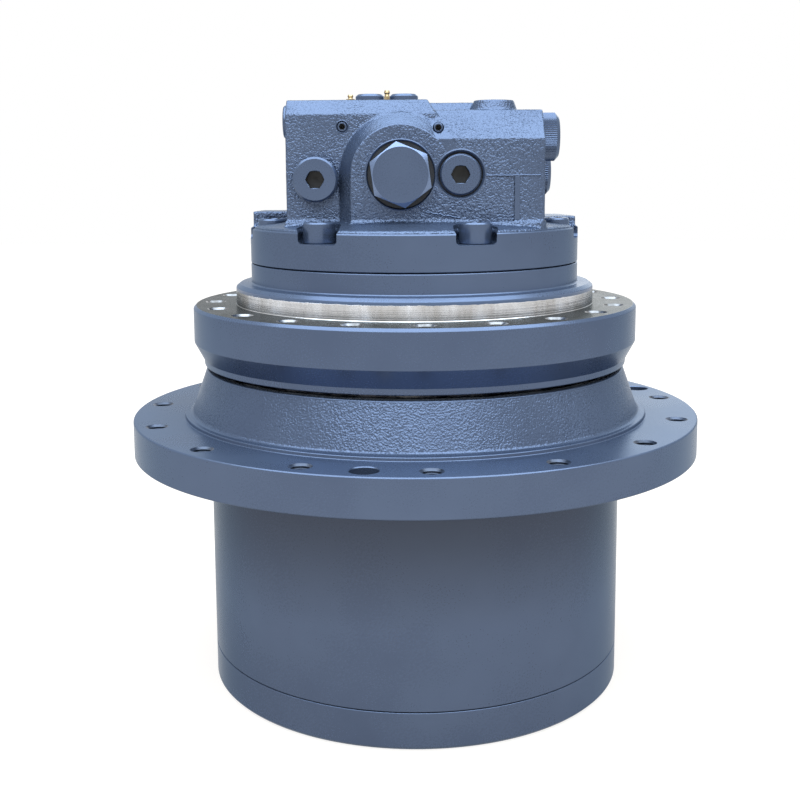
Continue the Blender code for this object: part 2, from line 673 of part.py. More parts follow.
def make_end_cover():
    """The cover that closes the drum, with its spigot, thrust pad and screw counterbores."""
    spigot = GEAR_RELIEF_RADIUS - SEAT
    bore = spigot - COVER_SPIGOT_WALL
    cover = solid_turned("end_cover", [
        (0.0, Z_PAD),
        (THRUST_PAD_RADIUS, Z_PAD),
        (THRUST_PAD_RADIUS, Z_COVER_FLOOR),
        (bore, Z_COVER_FLOOR),
        (bore, Z_GEAR_LOW - SEAT),
        (spigot, Z_GEAR_LOW - SEAT),
        (spigot, Z_COVER_JOINT - 0.5 * SEAT),
        (DRUM_RADIUS, Z_COVER_JOINT - 0.5 * SEAT),
        (DRUM_RADIUS, COVER_CHAMFER),
        (DRUM_RADIUS - COVER_CHAMFER, 0.0),
        (COVER_RECESS_RADIUS, 0.0),
        (COVER_RECESS_RADIUS, COVER_RECESS),
        (0.0, COVER_RECESS),
    ], "slate_paint", OUTER_SIDES)
    screws = rods("cover_counterbores", circle_places(COVER_SCREWS, COVER_SCREW_RADIUS, 15.0),
                  COVER_COUNTERBORE, -MM, COVER_COUNTERBORE_DEPTH)
    plugs = rods("oil_plug_holes", circle_places(OIL_PLUGS, OIL_PLUG_CIRCLE, 30.0),
                 OIL_PLUG_SHANK_RADIUS + SEAT, COVER_RECESS - MM, Z_COVER_FLOOR + MM, sides=PIN_SIDES)
    cut(cover, screws)
    cut(cover, plugs)
    return settle(cover)


def make_oil_plugs():
    """The two oil plugs in the end cover's recess."""
    for index, (x, y) in enumerate(circle_places(OIL_PLUGS, OIL_PLUG_CIRCLE, 30.0)):
        under = COVER_RECESS - SEAT
        plug = solid_turned("oil_plug_%d" % (index + 1), [
            (0.0, Z_COVER_FLOOR),
            (OIL_PLUG_SHANK_RADIUS, Z_COVER_FLOOR),
            (OIL_PLUG_SHANK_RADIUS, under),
            (OIL_PLUG_RADIUS, under),
            (OIL_PLUG_RADIUS, under - OIL_PLUG_HEAD),
            (0.0, under - OIL_PLUG_HEAD),
        ], "slate_paint", PIN_SIDES)
        plug.location = (x, y, 0.0)


def make_bearing(name, seat_radius, low):
    """A taper roller bearing: inner race, outer race, and a cage with its rollers."""
    high = low + BEARING_WIDTH
    inner = race_inner_radius(seat_radius)
    track_low = inner + RACE_WALL
    track_high = track_low + RACE_TAPER
    outer_low = track_low + roller_space()
    outer_high = track_high + roller_space()
    outer = race_outer_radius(seat_radius)
    slope = math.atan2(RACE_TAPER, BEARING_WIDTH)
    turned(name + "_inner_race", [
        (track_high, high), (track_low, low), (inner, low), (inner, high)], "bearing_steel")
    turned(name + "_outer_race", [
        (outer, high), (outer, low), (round_bore(outer_low, INNER_SIDES), low),
        (round_bore(outer_high, INNER_SIDES), high)], "bearing_steel")
    middle = 0.5 * (track_low + track_high + roller_space())
    half = 0.5 * CAGE_HEIGHT
    lean = half * math.tan(slope)
    centre = 0.5 * (low + high)
    wall = 0.5 * CAGE_THICKNESS
    cage = turned(name + "_cage", [
        (middle + lean + wall, centre + half), (middle - lean + wall, centre - half),
        (middle - lean - wall, centre - half), (middle + lean - wall, centre + half)], "bearing_steel",
        2 * ROLLER_COUNT)
    shape = bmesh.new()
    for index in range(ROLLER_COUNT):
        turn = Matrix.Rotation(index * math.tau / ROLLER_COUNT, 4, "Z")
        place = Matrix.Translation((middle, 0.0, centre)) @ Matrix.Rotation(slope, 4, "Y")
        place = place @ Matrix.Rotation(-0.5 * math.pi, 4, "Z")
        radius = 0.5 * ROLLER_DIAMETER
        bmesh.ops.create_cone(shape, cap_ends=True, segments=ROLLER_SIDES, radius1=radius, radius2=radius,
                              depth=ROLLER_LENGTH, matrix=turn @ place)
    mesh = bpy.data.meshes.new(name + "_rollers")
    shape.to_mesh(mesh)
    shape.free()
    join(cage, add_object(name + "_rollers", mesh))
    return settle(cage)


def make_bearing_nut():
    """The ring nut that holds the lower inner race, with four spanner slots."""
    low = Z_NOSE + NUT_GAP
    nut = turned("bearing_nut", tube_profile(round_bore(NOSE_RADIUS + SEAT, INNER_SIDES), NUT_RADIUS,
                                             low, low + NUT_WIDTH), "gear_steel")
    slots = circle_places(NUT_SLOTS, NUT_RADIUS, 180.0 / INNER_SIDES)
    cut(nut, rods("nut_slots", slots, NUT_SLOT_RADIUS, low - MM, low + NUT_WIDTH + MM))
    return settle(nut)


def make_floating_seal():
    """The two lapped rings that run face to face, each on its rubber toric ring."""
    toric_centre = 0.5 * (SEAL_OUTER_RADIUS + SEAL_BORE_RADIUS)
    for side, up, sides in (("hub", -1.0, INNER_SIDES), ("spindle", 1.0, OUTER_SIDES)):
        face = Z_SEAL_CONTACT + 0.5 * up * SEAT
        low, high = sorted((face, face + up * SEAL_RING_HEIGHT))
        turned(side + "_seal_ring", tube_profile(SEAL_INNER_RADIUS, SEAL_OUTER_RADIUS, low, high),
               "bearing_steel", sides)
        height = face + up * (SEAL_RING_HEIGHT - TORIC_RADIUS)
        section = circle_loop(TORIC_RADIUS, 4, -0.5 * math.pi)
        turned(side + "_toric_ring", [(toric_centre + x, height + y) for x, y in reversed(section)],
               "black_rubber", sides)


def make_spindle():
    """The motor case, pilot and frame flange, with the bearing seats and the nose, in one casting."""
    top = Z_CASE - 0.5 * SEAT
    web_neck = UPPER_SEAT_RADIUS - WEB_NECK_STEP
    spindle = solid_turned("spindle", [
        (0.0, top),
        (CASE_RADIUS, top),
        (CASE_RADIUS, Z_PILOT),
        (PILOT_RADIUS, Z_PILOT),
        (PILOT_RADIUS, Z_FRAME_FACE),
        (FRAME_FLANGE_RADIUS - FLANGE_CHAMFER, Z_FRAME_FACE),
        (FRAME_FLANGE_RADIUS, Z_FRAME_FACE - FLANGE_CHAMFER),
        (FRAME_FLANGE_RADIUS, Z_FRAME_FLANGE),
        (SKIRT_RADIUS, Z_FRAME_FLANGE - SKIRT_CONE),
        (SKIRT_RADIUS, Z_SKIRT),
        (SEAL_BORE_RADIUS, Z_SKIRT),
        (SEAL_BORE_RADIUS, Z_SEAL_CEILING),
        (SEAL_NECK_RADIUS, Z_SEAL_CEILING),
        (SEAL_NECK_RADIUS, Z_UPPER_STOP),
        (UPPER_SEAT_RADIUS, Z_UPPER_STOP),
        (UPPER_SEAT_RADIUS, Z_UPPER_RACE + SEAT_RELIEF),
        (web_neck, Z_UPPER_RACE + SEAT_RELIEF),
        (web_neck, Z_UPPER_SHOULDER - SEAT_RELIEF),
        (LOWER_SEAT_RADIUS + RACE_WALL, Z_LOWER_SHOULDER),
        (LOWER_SEAT_RADIUS, Z_LOWER_SHOULDER),
        (LOWER_SEAT_RADIUS, Z_LOWER_RACE),
        (NOSE_RADIUS, Z_LOWER_RACE - SEAT),
        (NOSE_RADIUS, Z_NOSE),
        (0.0, Z_NOSE),
    ], "slate_paint", OUTER_SIDES)
    bore = round_bore(CASE_BORE_RADIUS, INNER_SIDES)
    cut(spindle, solid_turned("case_bores", [
        (0.0, top + MM),
        (bore, top + MM),
        (bore, Z_BRAKE_LEDGE),
        (BRAKE_LEDGE_RADIUS, Z_BRAKE_LEDGE),
        (BRAKE_LEDGE_RADIUS, Z_CASE_FLOOR),
        (0.0, Z_CASE_FLOOR),
    ]))
    cut(spindle, solid_turned("shaft_bores", [
        (0.0, Z_CASE_FLOOR + MM),
        (SHAFT_BEARING_BORE, Z_CASE_FLOOR + MM),
        (SHAFT_BEARING_BORE, Z_SHAFT_BEARING),
        (SHAFT_SEAL_BORE, Z_SHAFT_BEARING),
        (SHAFT_SEAL_BORE, Z_SHAFT_SEAL),
        (SHAFT_TUNNEL_RADIUS, Z_SHAFT_SEAL),
        (SHAFT_TUNNEL_RADIUS, Z_NOSE - MM),
        (0.0, Z_NOSE - MM),
    ], sides=CORE_SIDES))
    cut(spindle, solid_turned("carrier_socket", rod_profile(
        CARRIER_2_HUB_RADIUS + SEAT, Z_NOSE - MM, Z_NOSE + CARRIER_2_HUB_HEIGHT)))
    settle(spindle)
    cut(spindle, rods("frame_taps", circle_places(FRAME_HOLES, FRAME_BOLT_RADIUS, FRAME_FIRST_ANGLE),
                      M16_DRILL_RADIUS, Z_FRAME_FACE - FRAME_HOLE_DEPTH, Z_FRAME_FACE + MM))
    cut(spindle, rods("case_bolt_taps", [front_place(REAR_BOLT_RADIUS, angle) for angle in REAR_BOLT_ANGLES],
                      round_bore(BOLT_SHANK_RADIUS + SEAT, INNER_HOLE_SIDES), bolt_tip_height() - MM,
                      Z_CASE + MM, sides=INNER_HOLE_SIDES))
    return settle(spindle)


def bolt_tip_height():
    return Z_REAR_FACE - NOTCH_DEPTH - BOLT_GRIP


def make_carrier_2():
    """The second carrier, fixed in the spindle's nose, with the four planet pins."""
    high = Z_CARRIER_2 + CARRIER_2_PLATE
    hub_top = high + CARRIER_2_HUB_HEIGHT
    bore = CARRIER_BORE_RADIUS
    carrier = turned("carrier_2", [
        (CARRIER_2_HUB_RADIUS, hub_top), (CARRIER_2_HUB_RADIUS, high), (CARRIER_2_RADIUS, high),
        (CARRIER_2_RADIUS, Z_CARRIER_2), (bore, Z_CARRIER_2), (bore, hub_top)], "gear_steel")
    places = planet_places(SUN_2_TEETH, PLANET_2_TEETH, PLANET_2_COUNT)
    pins = rods("carrier_2_pins", [(x, y) for x, y, turn in places], PIN_2_RADIUS,
                Z_PLANET_2 - WASHER_GAP, Z_CARRIER_2 + 0.5 * CARRIER_2_PLATE, sides=PIN_SIDES)
    join(carrier, pins)
    return settle(carrier)


def make_carrier_1():
    """The first carrier with its three pins, splined on the second sun gear's stub."""
    high = Z_CARRIER_1 + CARRIER_1_PLATE - SEAT
    bore = round_bore(SUN_2_STUB_RADIUS + SEAT, INNER_SIDES)
    carrier = turned("carrier_1", tube_profile(bore, CARRIER_1_RADIUS, Z_CARRIER_1, high), "gear_steel")
    places = planet_places(SUN_1_TEETH, PLANET_1_TEETH, PLANET_1_COUNT)
    pins = rods("carrier_1_pins", [(x, y) for x, y, turn in places], PIN_1_RADIUS,
                Z_PLANET_1 - WASHER_GAP, Z_CARRIER_1 + 0.5 * CARRIER_1_PLATE, sides=PIN_SIDES)
    join(carrier, pins)
    return settle(carrier)


def make_planets(stage, sun_teeth, planet_teeth, count, pin_radius, low, width):
    """One stage's planet gears, each with its origin on its own axis."""
    bore = round_bore(pin_radius + RUN, PIN_SIDES)
    for index, (x, y, turn) in enumerate(planet_places(sun_teeth, planet_teeth, count)):
        loops = [gear_loop(planet_teeth, turn), circle_loop(bore, PIN_SIDES)]
        planet = plate("planet_%d_%s" % (stage, "abcd"[index]), loops, low, low + width, "gear_steel")
        planet.location = (x, y, 0.0)


def make_sun_2():
    """The hollow second sun gear, with the stub that carries the first carrier."""
    top = Z_PLANET_2 + PLANET_2_WIDTH
    sun = plate("sun_2", [gear_loop(SUN_2_TEETH), circle_loop(SUN_2_BORE_RADIUS, PIN_SIDES)],
                Z_SUN_2, top, "gear_steel")
    stub = turned("sun_2_stub", tube_profile(SUN_2_BORE_RADIUS, SUN_2_STUB_RADIUS, Z_CARRIER_1,
                                             Z_SUN_2 + MM), sides=PIN_SIDES)
    join(sun, stub)
    return settle(sun)


def make_shaft():
    """The drive shaft, with the first sun gear cut on its lower end."""
    low = Z_PAD + SEAT
    high = Z_SPIGOT + SHAFT_TOP_BEARING_DEPTH - SHAFT_END_ROOM
    step = Z_SHAFT_SEAL - SHAFT_SEAL_WIDTH
    shaft = solid_turned("drive_shaft", [
        (0.0, high),
        (SHAFT_RADIUS, high),
        (SHAFT_RADIUS, Z_BLOCK_TOP),
        (SHAFT_JOURNAL_RADIUS, Z_BLOCK_TOP),
        (SHAFT_JOURNAL_RADIUS, step),
        (SHAFT_RADIUS, step),
        (SHAFT_RADIUS, low),
        (0.0, low),
    ], "gear_steel", CORE_SIDES)
    join(shaft, plate("sun_1_teeth", [gear_loop(SUN_1_TEETH, math.pi / SUN_1_TEETH)], Z_SUN_1,
                      Z_PLANET_1 + PLANET_1_WIDTH))
    return settle(shaft)


def make_shaft_bearing():
    """The roller bearing and the lip seal between the shaft and the case floor."""
    inner = round_bore(SHAFT_JOURNAL_RADIUS + RUN, CORE_SIDES)
    turned("shaft_bearing", tube_profile(inner, SHAFT_BEARING_BORE - RUN, Z_SHAFT_BEARING + SEAT,
                                         Z_CASE_FLOOR - SEAT), "bearing_steel", CORE_SIDES)
    turned("shaft_seal", tube_profile(inner, SHAFT_SEAL_BORE - RUN, Z_SHAFT_SEAL + SEAT,
                                      Z_SHAFT_BEARING - SEAT), "black_rubber", CORE_SIDES)


def make_motor():
    """The swash plate, piston set, cylinder block and valve plate, drawn at zero tilt."""
    bore = round_bore(SHAFT_JOURNAL_RADIUS + SEAT, CORE_SIDES)
    collar_high = Z_BRAKE_LEDGE + 2.0 * SEAT + DISC_THICKNESS + BLOCK_COLLAR_MARGIN
    block = turned("cylinder_block", [
        (BLOCK_RADIUS, Z_BLOCK_TOP),
        (BLOCK_RADIUS, collar_high),
        (BLOCK_COLLAR_RADIUS, collar_high),
        (BLOCK_COLLAR_RADIUS, Z_BRAKE_LEDGE - BLOCK_COLLAR_MARGIN),
        (BLOCK_RADIUS, Z_BRAKE_LEDGE - BLOCK_COLLAR_MARGIN),
        (BLOCK_RADIUS, Z_BLOCK_LOW),
        (bore, Z_BLOCK_LOW),
        (bore, Z_BLOCK_TOP),
    ], "cast_iron", CORE_SIDES)
    places = circle_places(PISTONS, PISTON_CIRCLE)
    cut(block, rods("cylinder_bores", places, round_bore(PISTON_RADIUS + SEAT, INNER_HOLE_SIDES),
                    Z_BLOCK_LOW - MM, Z_BLOCK_LOW + PISTON_DEPTH + MM, sides=INNER_HOLE_SIDES))
    settle(block)
    clear = SHAFT_JOURNAL_RADIUS + SHAFT_RING_GAP
    pistons = turned("piston_set", tube_profile(clear, RETAINER_RADIUS, Z_RETAINER,
                                                Z_RETAINER + RETAINER_THICKNESS), "bronze", CORE_SIDES)
    join(pistons, rods("piston_rods", places, PISTON_RADIUS, Z_SWASH_FACE + SEAT,
                       Z_BLOCK_LOW + PISTON_DEPTH, sides=INNER_HOLE_SIDES))
    settle(pistons)
    swash = turned("swash_plate", tube_profile(clear, SWASH_RADIUS, Z_CASE_FLOOR + SEAT, Z_SWASH_FACE),
                   "gear_steel", CORE_SIDES)
    for side in (-1.0, 1.0):
        near, far = 0.5 * SWASH_FACE_WIDTH, SWASH_RADIUS + MM
        low, high = sorted((side * near, side * far))
        cut(swash, box("swash_flat_%d" % side, (-far, low, Z_CASE_FLOOR), (far, high, Z_SWASH_FACE + MM)))
    settle(swash)
    plate_loops = [circle_loop(VALVE_PLATE_RADIUS, CORE_SIDES),
                   circle_loop(SHAFT_JOURNAL_RADIUS + VALVE_PLATE_GAP, CORE_SIDES)]
    for side in (0.0, math.pi):
        plate_loops.append(kidney_loop(PISTON_CIRCLE, 0.5 * PISTON_RADIUS, side, KIDNEY_HALF_ANGLE))
    plate("valve_plate", plate_loops, Z_VALVE_PLATE, Z_VALVE_PLATE + VALVE_PLATE_THICKNESS, "bronze")


def kidney_loop(radius, half_width, middle, half_angle):
    """A kidney port's outline: an arc-shaped slot with pointed ends."""
    outer = [middle - half_angle + i * half_angle / 2.0 for i in range(5)]
    far, near = radius + half_width, radius - half_width
    loop = [(far * math.cos(angle), far * math.sin(angle)) for angle in outer]
    loop += [(near * math.cos(angle), near * math.sin(angle)) for angle in reversed(outer)]
    return loop


def make_brake():
    """The parking brake: a disc on the cylinder block, clamped on the case's ledge by piston and spring."""
    fixed = CASE_BORE_RADIUS - 4.0 * SEAT
    bore = round_bore(BLOCK_COLLAR_RADIUS + SEAT, INNER_SIDES)
    disc = Z_BRAKE_LEDGE + SEAT
    low = disc + DISC_THICKNESS + SEAT
    high = low + BRAKE_PISTON_HEIGHT
    turned("friction_disc", tube_profile(bore, DISC_OUTER_RADIUS, disc, disc + DISC_THICKNESS), "bronze")
    turned("brake_piston", tube_profile(BRAKE_PISTON_INNER, fixed, low, high), "gear_steel")
    top = Z_SPIGOT - SEAT
    turned("disc_spring", [
        (DISC_SPRING_INNER + DISC_SPRING_THICKNESS, top),
        (fixed - DISC_SPRING_THICKNESS, high + SEAT + DISC_SPRING_THICKNESS),
        (fixed - DISC_SPRING_THICKNESS, high + SEAT),
        (DISC_SPRING_INNER, top - DISC_SPRING_THICKNESS),
    ], "gear_steel")


def side_profile_block(name, left, right, front, back, low, high, bevel):
    """A block with one long bevel on its upper front edge, made as an outline across the block."""
    loop = [(front, low), (front, high - bevel), (front + bevel, high), (back, high), (back, low)]
    block = plate(name, [loop], left, right)
    block.matrix_world = Matrix(((0.0, 0.0, 1.0, 0.0), (1.0, 0.0, 0.0, 0.0), (0.0, 1.0, 0.0, 0.0),
                                 (0.0, 0.0, 0.0, 1.0)))
    bpy.context.view_layer.update()
    return block


def make_rear_cover():
    """The rear cover: a bolted flange and the cast valve block that stands on it."""
    low = Z_CASE + 0.5 * SEAT
    spigot = CASE_BORE_RADIUS - SEAT
    shaft_bore = round_bore(SHAFT_RADIUS + RUN, CORE_SIDES)
    shaft_bore_top = Z_SPIGOT + SHAFT_TOP_BEARING_DEPTH
    cover = turned("rear_cover", [
        (0.0, Z_REAR_FACE + REAR_CROWN),
        (REAR_CROWN_RADIUS, Z_REAR_FACE + REAR_CROWN),
        (REAR_SHOULDER_RADIUS, Z_REAR_FACE + REAR_SHOULDER_RISE),
        (CASE_RADIUS, Z_REAR_FACE - REAR_EDGE_DROP),
        (CASE_RADIUS, low),
        (spigot, low),
        (spigot, Z_SPIGOT),
        (shaft_bore, Z_SPIGOT),
        (shaft_bore, shaft_bore_top),
        (0.0, shaft_bore_top),
    ], "slate_paint", OUTER_SIDES, closed=False)
    root = Z_REAR_FACE - BLOCK_ROOT
    recess = BLOCK_FRONT_Y + BLOCK_RECESS
    join(cover, side_profile_block("block_left", BLOCK_LEFT_X, BLOCK_STEP_X, recess, BLOCK_WAIST_Y,
                                   root, Z_BLOCK_LEFT, BLOCK_LEFT_BEVEL))
    join(cover, side_profile_block("block_right", SPOOL_X, BLOCK_RIGHT_X, BLOCK_FRONT_Y - MM,
                                   BLOCK_WAIST_Y + MM, root, Z_BLOCK_RIGHT, BLOCK_RIGHT_BEVEL + MM))
    join(cover, side_profile_block("block_back", -BLOCK_WAIST_X, BLOCK_WAIST_X, 0.0, BLOCK_BACK_Y,
                                   root, Z_BLOCK_RIGHT - MM, LAND_SLOPE))
    join(cover, side_profile_block("block_land", BLOCK_STEP_X - MM, LAND_RIGHT_X, LAND_FRONT_Y,
                                   BLOCK_WAIST_Y - MM, Z_REAR_FACE, Z_BLOCK_RIGHT + LAND_SLOPE, LAND_SLOPE))
    settle(cover)
    flare = (ARCH_BACK_RADIUS - ARCH_FRONT_RADIUS) / BLOCK_RECESS
    near = -BLOCK_FRONT_Y + MM
    deep = -recess - BLOCK_RECESS
    near_radius = ARCH_FRONT_RADIUS - flare * MM
    deep_radius = ARCH_BACK_RADIUS + flare * BLOCK_RECESS
    arch = solid_turned("arch_boss", [
        (0.0, near), (near_radius, near), (deep_radius, deep), (0.0, deep)], sides=ARCH_SIDES)
    aim(arch, (SPOOL_X, 0.0, Z_SPOOL), (0.0, -1.0, 0.0))
    join(cover, arch)
    wall = [(SPOOL_X - deep_radius, -deep), (SPOOL_X - near_radius, -near), (SPOOL_X + MM, -near),
            (SPOOL_X + MM, -deep)]
    join(cover, plate("arch_wall", [wall], Z_REAR_FACE - MM, Z_SPOOL))
    settle(cover)
    reach = 2.0 * CASE_RADIUS
    cut(cover, box("front_face_cut", (-reach, -reach, Z_REAR_FACE + REAR_CROWN),
                   (reach, BLOCK_FRONT_Y, Z_BLOCK_LEFT + reach)))
    settle(cover)
    boss = solid_turned("top_boss", [
        (0.0, Z_BLOCK_RIGHT + BOSS_HEIGHT), (BOSS_TOP_RADIUS, Z_BLOCK_RIGHT + BOSS_HEIGHT),
        (BOSS_BASE_RADIUS, Z_BLOCK_RIGHT - MM), (0.0, Z_BLOCK_RIGHT - MM)], sides=CORE_SIDES)
    boss.location = (BOSS_X, BOSS_Y, 0.0)
    join(cover, boss)
    for side, near, far, rise in PAD_SIZES:
        name = "pad_left" if side < 0 else "pad_right"
        pad = solid_turned(name + "_round", rod_profile(CASE_RADIUS - MM, Z_REAR_FACE - PAD_ROOT,
                                                        Z_REAR_FACE + rise), sides=OUTER_SIDES)
        low_x, high_x = sorted((side * PAD_INNER_X, side * (CASE_RADIUS + MM)))
        keep = box(name + "_keep", (low_x, near, Z_REAR_FACE - 2.0 * PAD_ROOT),
                   (high_x, far, Z_REAR_FACE + 2.0 * rise))
        combine(pad, keep, "INTERSECT")
        settle(pad)
        join(cover, pad)
    settle(cover)
    cut_rear_cover(cover)
    return settle(cover)


def cut_rear_cover(cover):
    """The notches, bolt holes, spotfaces, spool bore, plug seats and ports of the rear cover."""
    floor = Z_REAR_FACE - NOTCH_DEPTH
    places = [front_place(REAR_BOLT_RADIUS, angle) for angle in REAR_BOLT_ANGLES]
    for index, ((x, y), angle) in enumerate(zip(places, NOTCH_ANGLES)):
        out_x, out_y = front_place(1.0, angle)
        loop = []
        for step in range(NOTCH_ARC_STEPS + 1):
            turn = math.radians(angle) + math.pi * step / NOTCH_ARC_STEPS
            loop.append((x + NOTCH_RADIUS * math.cos(turn), y + NOTCH_RADIUS * math.sin(turn)))
        reach = 2.0 * (CASE_RADIUS - REAR_BOLT_RADIUS) + NOTCH_RADIUS
        loop.append((loop[-1][0] + reach * out_x, loop[-1][1] + reach * out_y))
        loop.append((loop[0][0] + reach * out_x, loop[0][1] + reach * out_y))
        cut(cover, plate("bolt_notch_%d" % index, [loop], floor, Z_REAR_FACE + NOTCH_CUT_HEIGHT))
    cut(cover, rods("cover_bolt_holes", places, round_bore(BOLT_SHANK_RADIUS + SEAT, INNER_HOLE_SIDES),
                    Z_CASE - MM, floor + MM, sides=INNER_HOLE_SIDES))
    settle(cover)
    front = (0.0, -1.0, 0.0)
    recess = BLOCK_FRONT_Y + BLOCK_RECESS
    cap_end = CAP_SPOTFACE_DEPTH + CAP_SHANK_LENGTH + SEAT
    spool_end = cap_end + SPOOL_LENGTH + 2.0 * SPOOL_TRAVEL + 2.0 * SEAT
    bore = solid_turned("spool_bore", [
        (0.0, MM),
        (CAP_SPOTFACE_RADIUS, MM),
        (CAP_SPOTFACE_RADIUS, -CAP_SPOTFACE_DEPTH),
        (CAP_SHANK_RADIUS + SEAT, -CAP_SPOTFACE_DEPTH),
        (CAP_SHANK_RADIUS + SEAT, -cap_end),
        (round_bore(SPOOL_RADIUS + SEAT, CORE_SIDES), -cap_end),
        (round_bore(SPOOL_RADIUS + SEAT, CORE_SIDES), -spool_end),
        (0.0, -spool_end),
    ], sides=CORE_SIDES)
    cut(cover, aim(bore, (SPOOL_X, BLOCK_FRONT_Y, Z_SPOOL), front))
    right = plug_seat("right_plug_seat", RIGHT_SPOTFACE_RADIUS, RIGHT_SPOTFACE_DEPTH)
    cut(cover, aim(right, (RIGHT_PLUG_X, BLOCK_FRONT_Y, Z_SPOOL), front))
    left = plug_seat("left_plug_seat", 0.5 * (LEFT_PLUG_RADIUS + PLUG_SHANK_RADIUS), PLUG_SEAT_SINK)
    cut(cover, aim(left, (LEFT_PLUG_X, recess, Z_SPOOL - LEFT_PLUG_DROP), front))
    for index, (x, rise, on_recess) in enumerate(ORIFICE_PLACES):
        y = recess if on_recess else BLOCK_FRONT_Y
        hole = solid_turned("orifice_seat_%d" % index, rod_profile(
            ORIFICE_RADIUS + SEAT, -ORIFICE_LENGTH - ORIFICE_SINK - orifice_setback(on_recess, rise), MM),
            sides=PIN_SIDES)
        cut(cover, aim(hole, (x, y, Z_REAR_FACE + rise), front))
    for index, (y, rise) in enumerate(RELIEF_PLACES):
        hole = solid_turned("relief_seat_%d" % index, rod_profile(
            RELIEF_SHANK_RADIUS + SEAT, -RELIEF_SHANK_LENGTH - SEAT, MM), sides=CORE_SIDES)
        cut(cover, aim(hole, (BLOCK_RIGHT_X, y, Z_REAR_FACE + rise), (1.0, 0.0, 0.0)))
    hole = solid_turned("side_plug_seat", rod_profile(
        PORT_CAP_SHANK_RADIUS + SEAT, -PORT_CAP_SHANK_LENGTH - SEAT, MM), sides=PIN_SIDES)
    cut(cover, aim(hole, (BLOCK_LEFT_X, SIDE_PLUG_Y, Z_REAR_FACE + SIDE_PLUG_RISE), (-1.0, 0.0, 0.0)))
    cut(cover, rods("port_cap_holes", PORT_CAP_PLACES, PORT_CAP_SHANK_RADIUS + SEAT,
                    Z_BLOCK_LEFT - PORT_CAP_SHANK_LENGTH - SEAT, Z_BLOCK_LEFT + MM, sides=PIN_SIDES))
    cut(cover, rods("bleed_holes", [(x, y) for x, y, rise in BLEED_PLACES], BLEED_SHANK_RADIUS + SEAT,
                    Z_BLOCK_LEFT - BLEED_SHANK_LENGTH - SEAT, Z_BLOCK_LEFT + MM))
    for side in (-1.0, 1.0):
        port = solid_turned("main_port_bore_%d" % side, [
            (0.0, MM),
            (MAIN_PORT_FACE_RADIUS, MM),
            (MAIN_PORT_FACE_RADIUS, -MAIN_PORT_FACE_DEPTH),
            (MAIN_PORT_RADIUS, -MAIN_PORT_FACE_DEPTH),
            (MAIN_PORT_RADIUS, -MAIN_PORT_DEPTH),
            (0.0, -MAIN_PORT_DEPTH),
        ], sides=PIN_SIDES)
        aim(port, (side * MAIN_PORT_X, BLOCK_BACK_Y, Z_REAR_FACE + MAIN_PORT_RISE), (0.0, 1.0, 0.0))
        cut(cover, port)


def orifice_setback(on_recess, rise):
    """How far behind the block's front face the bevel lies at an orifice plug's height."""
    if on_recess:
        return 0.0
    return max(0.0, rise - (BLOCK_RIGHT_HEIGHT - BLOCK_RIGHT_BEVEL))


def plug_seat(name, spotface_radius, spotface_depth):
    """A spotface with the threaded hole under it."""
    return solid_turned(name, [
        (0.0, MM),
        (spotface_radius, MM),
        (spotface_radius, -spotface_depth),
        (PLUG_SHANK_RADIUS + SEAT, -spotface_depth),
        (PLUG_SHANK_RADIUS + SEAT, -spotface_depth - PLUG_SHANK_LENGTH - SEAT),
        (0.0, -spotface_depth - PLUG_SHANK_LENGTH - SEAT),
    ], sides=CORE_SIDES)


def plug(name, head_radius, head, shank_radius, shank, chamfer, slot="slate_paint", sides=CORE_SIDES):
    """A headed plug along +Z; its head's underside is at zero height."""
    return solid_turned(name, [
        (0.0, head),
        (head_radius - chamfer, head),
        (head_radius, head - chamfer),
        (head_radius, 0.0),
        (shank_radius, 0.0),
        (shank_radius, -shank),
        (0.0, -shank),
    ], slot, sides)


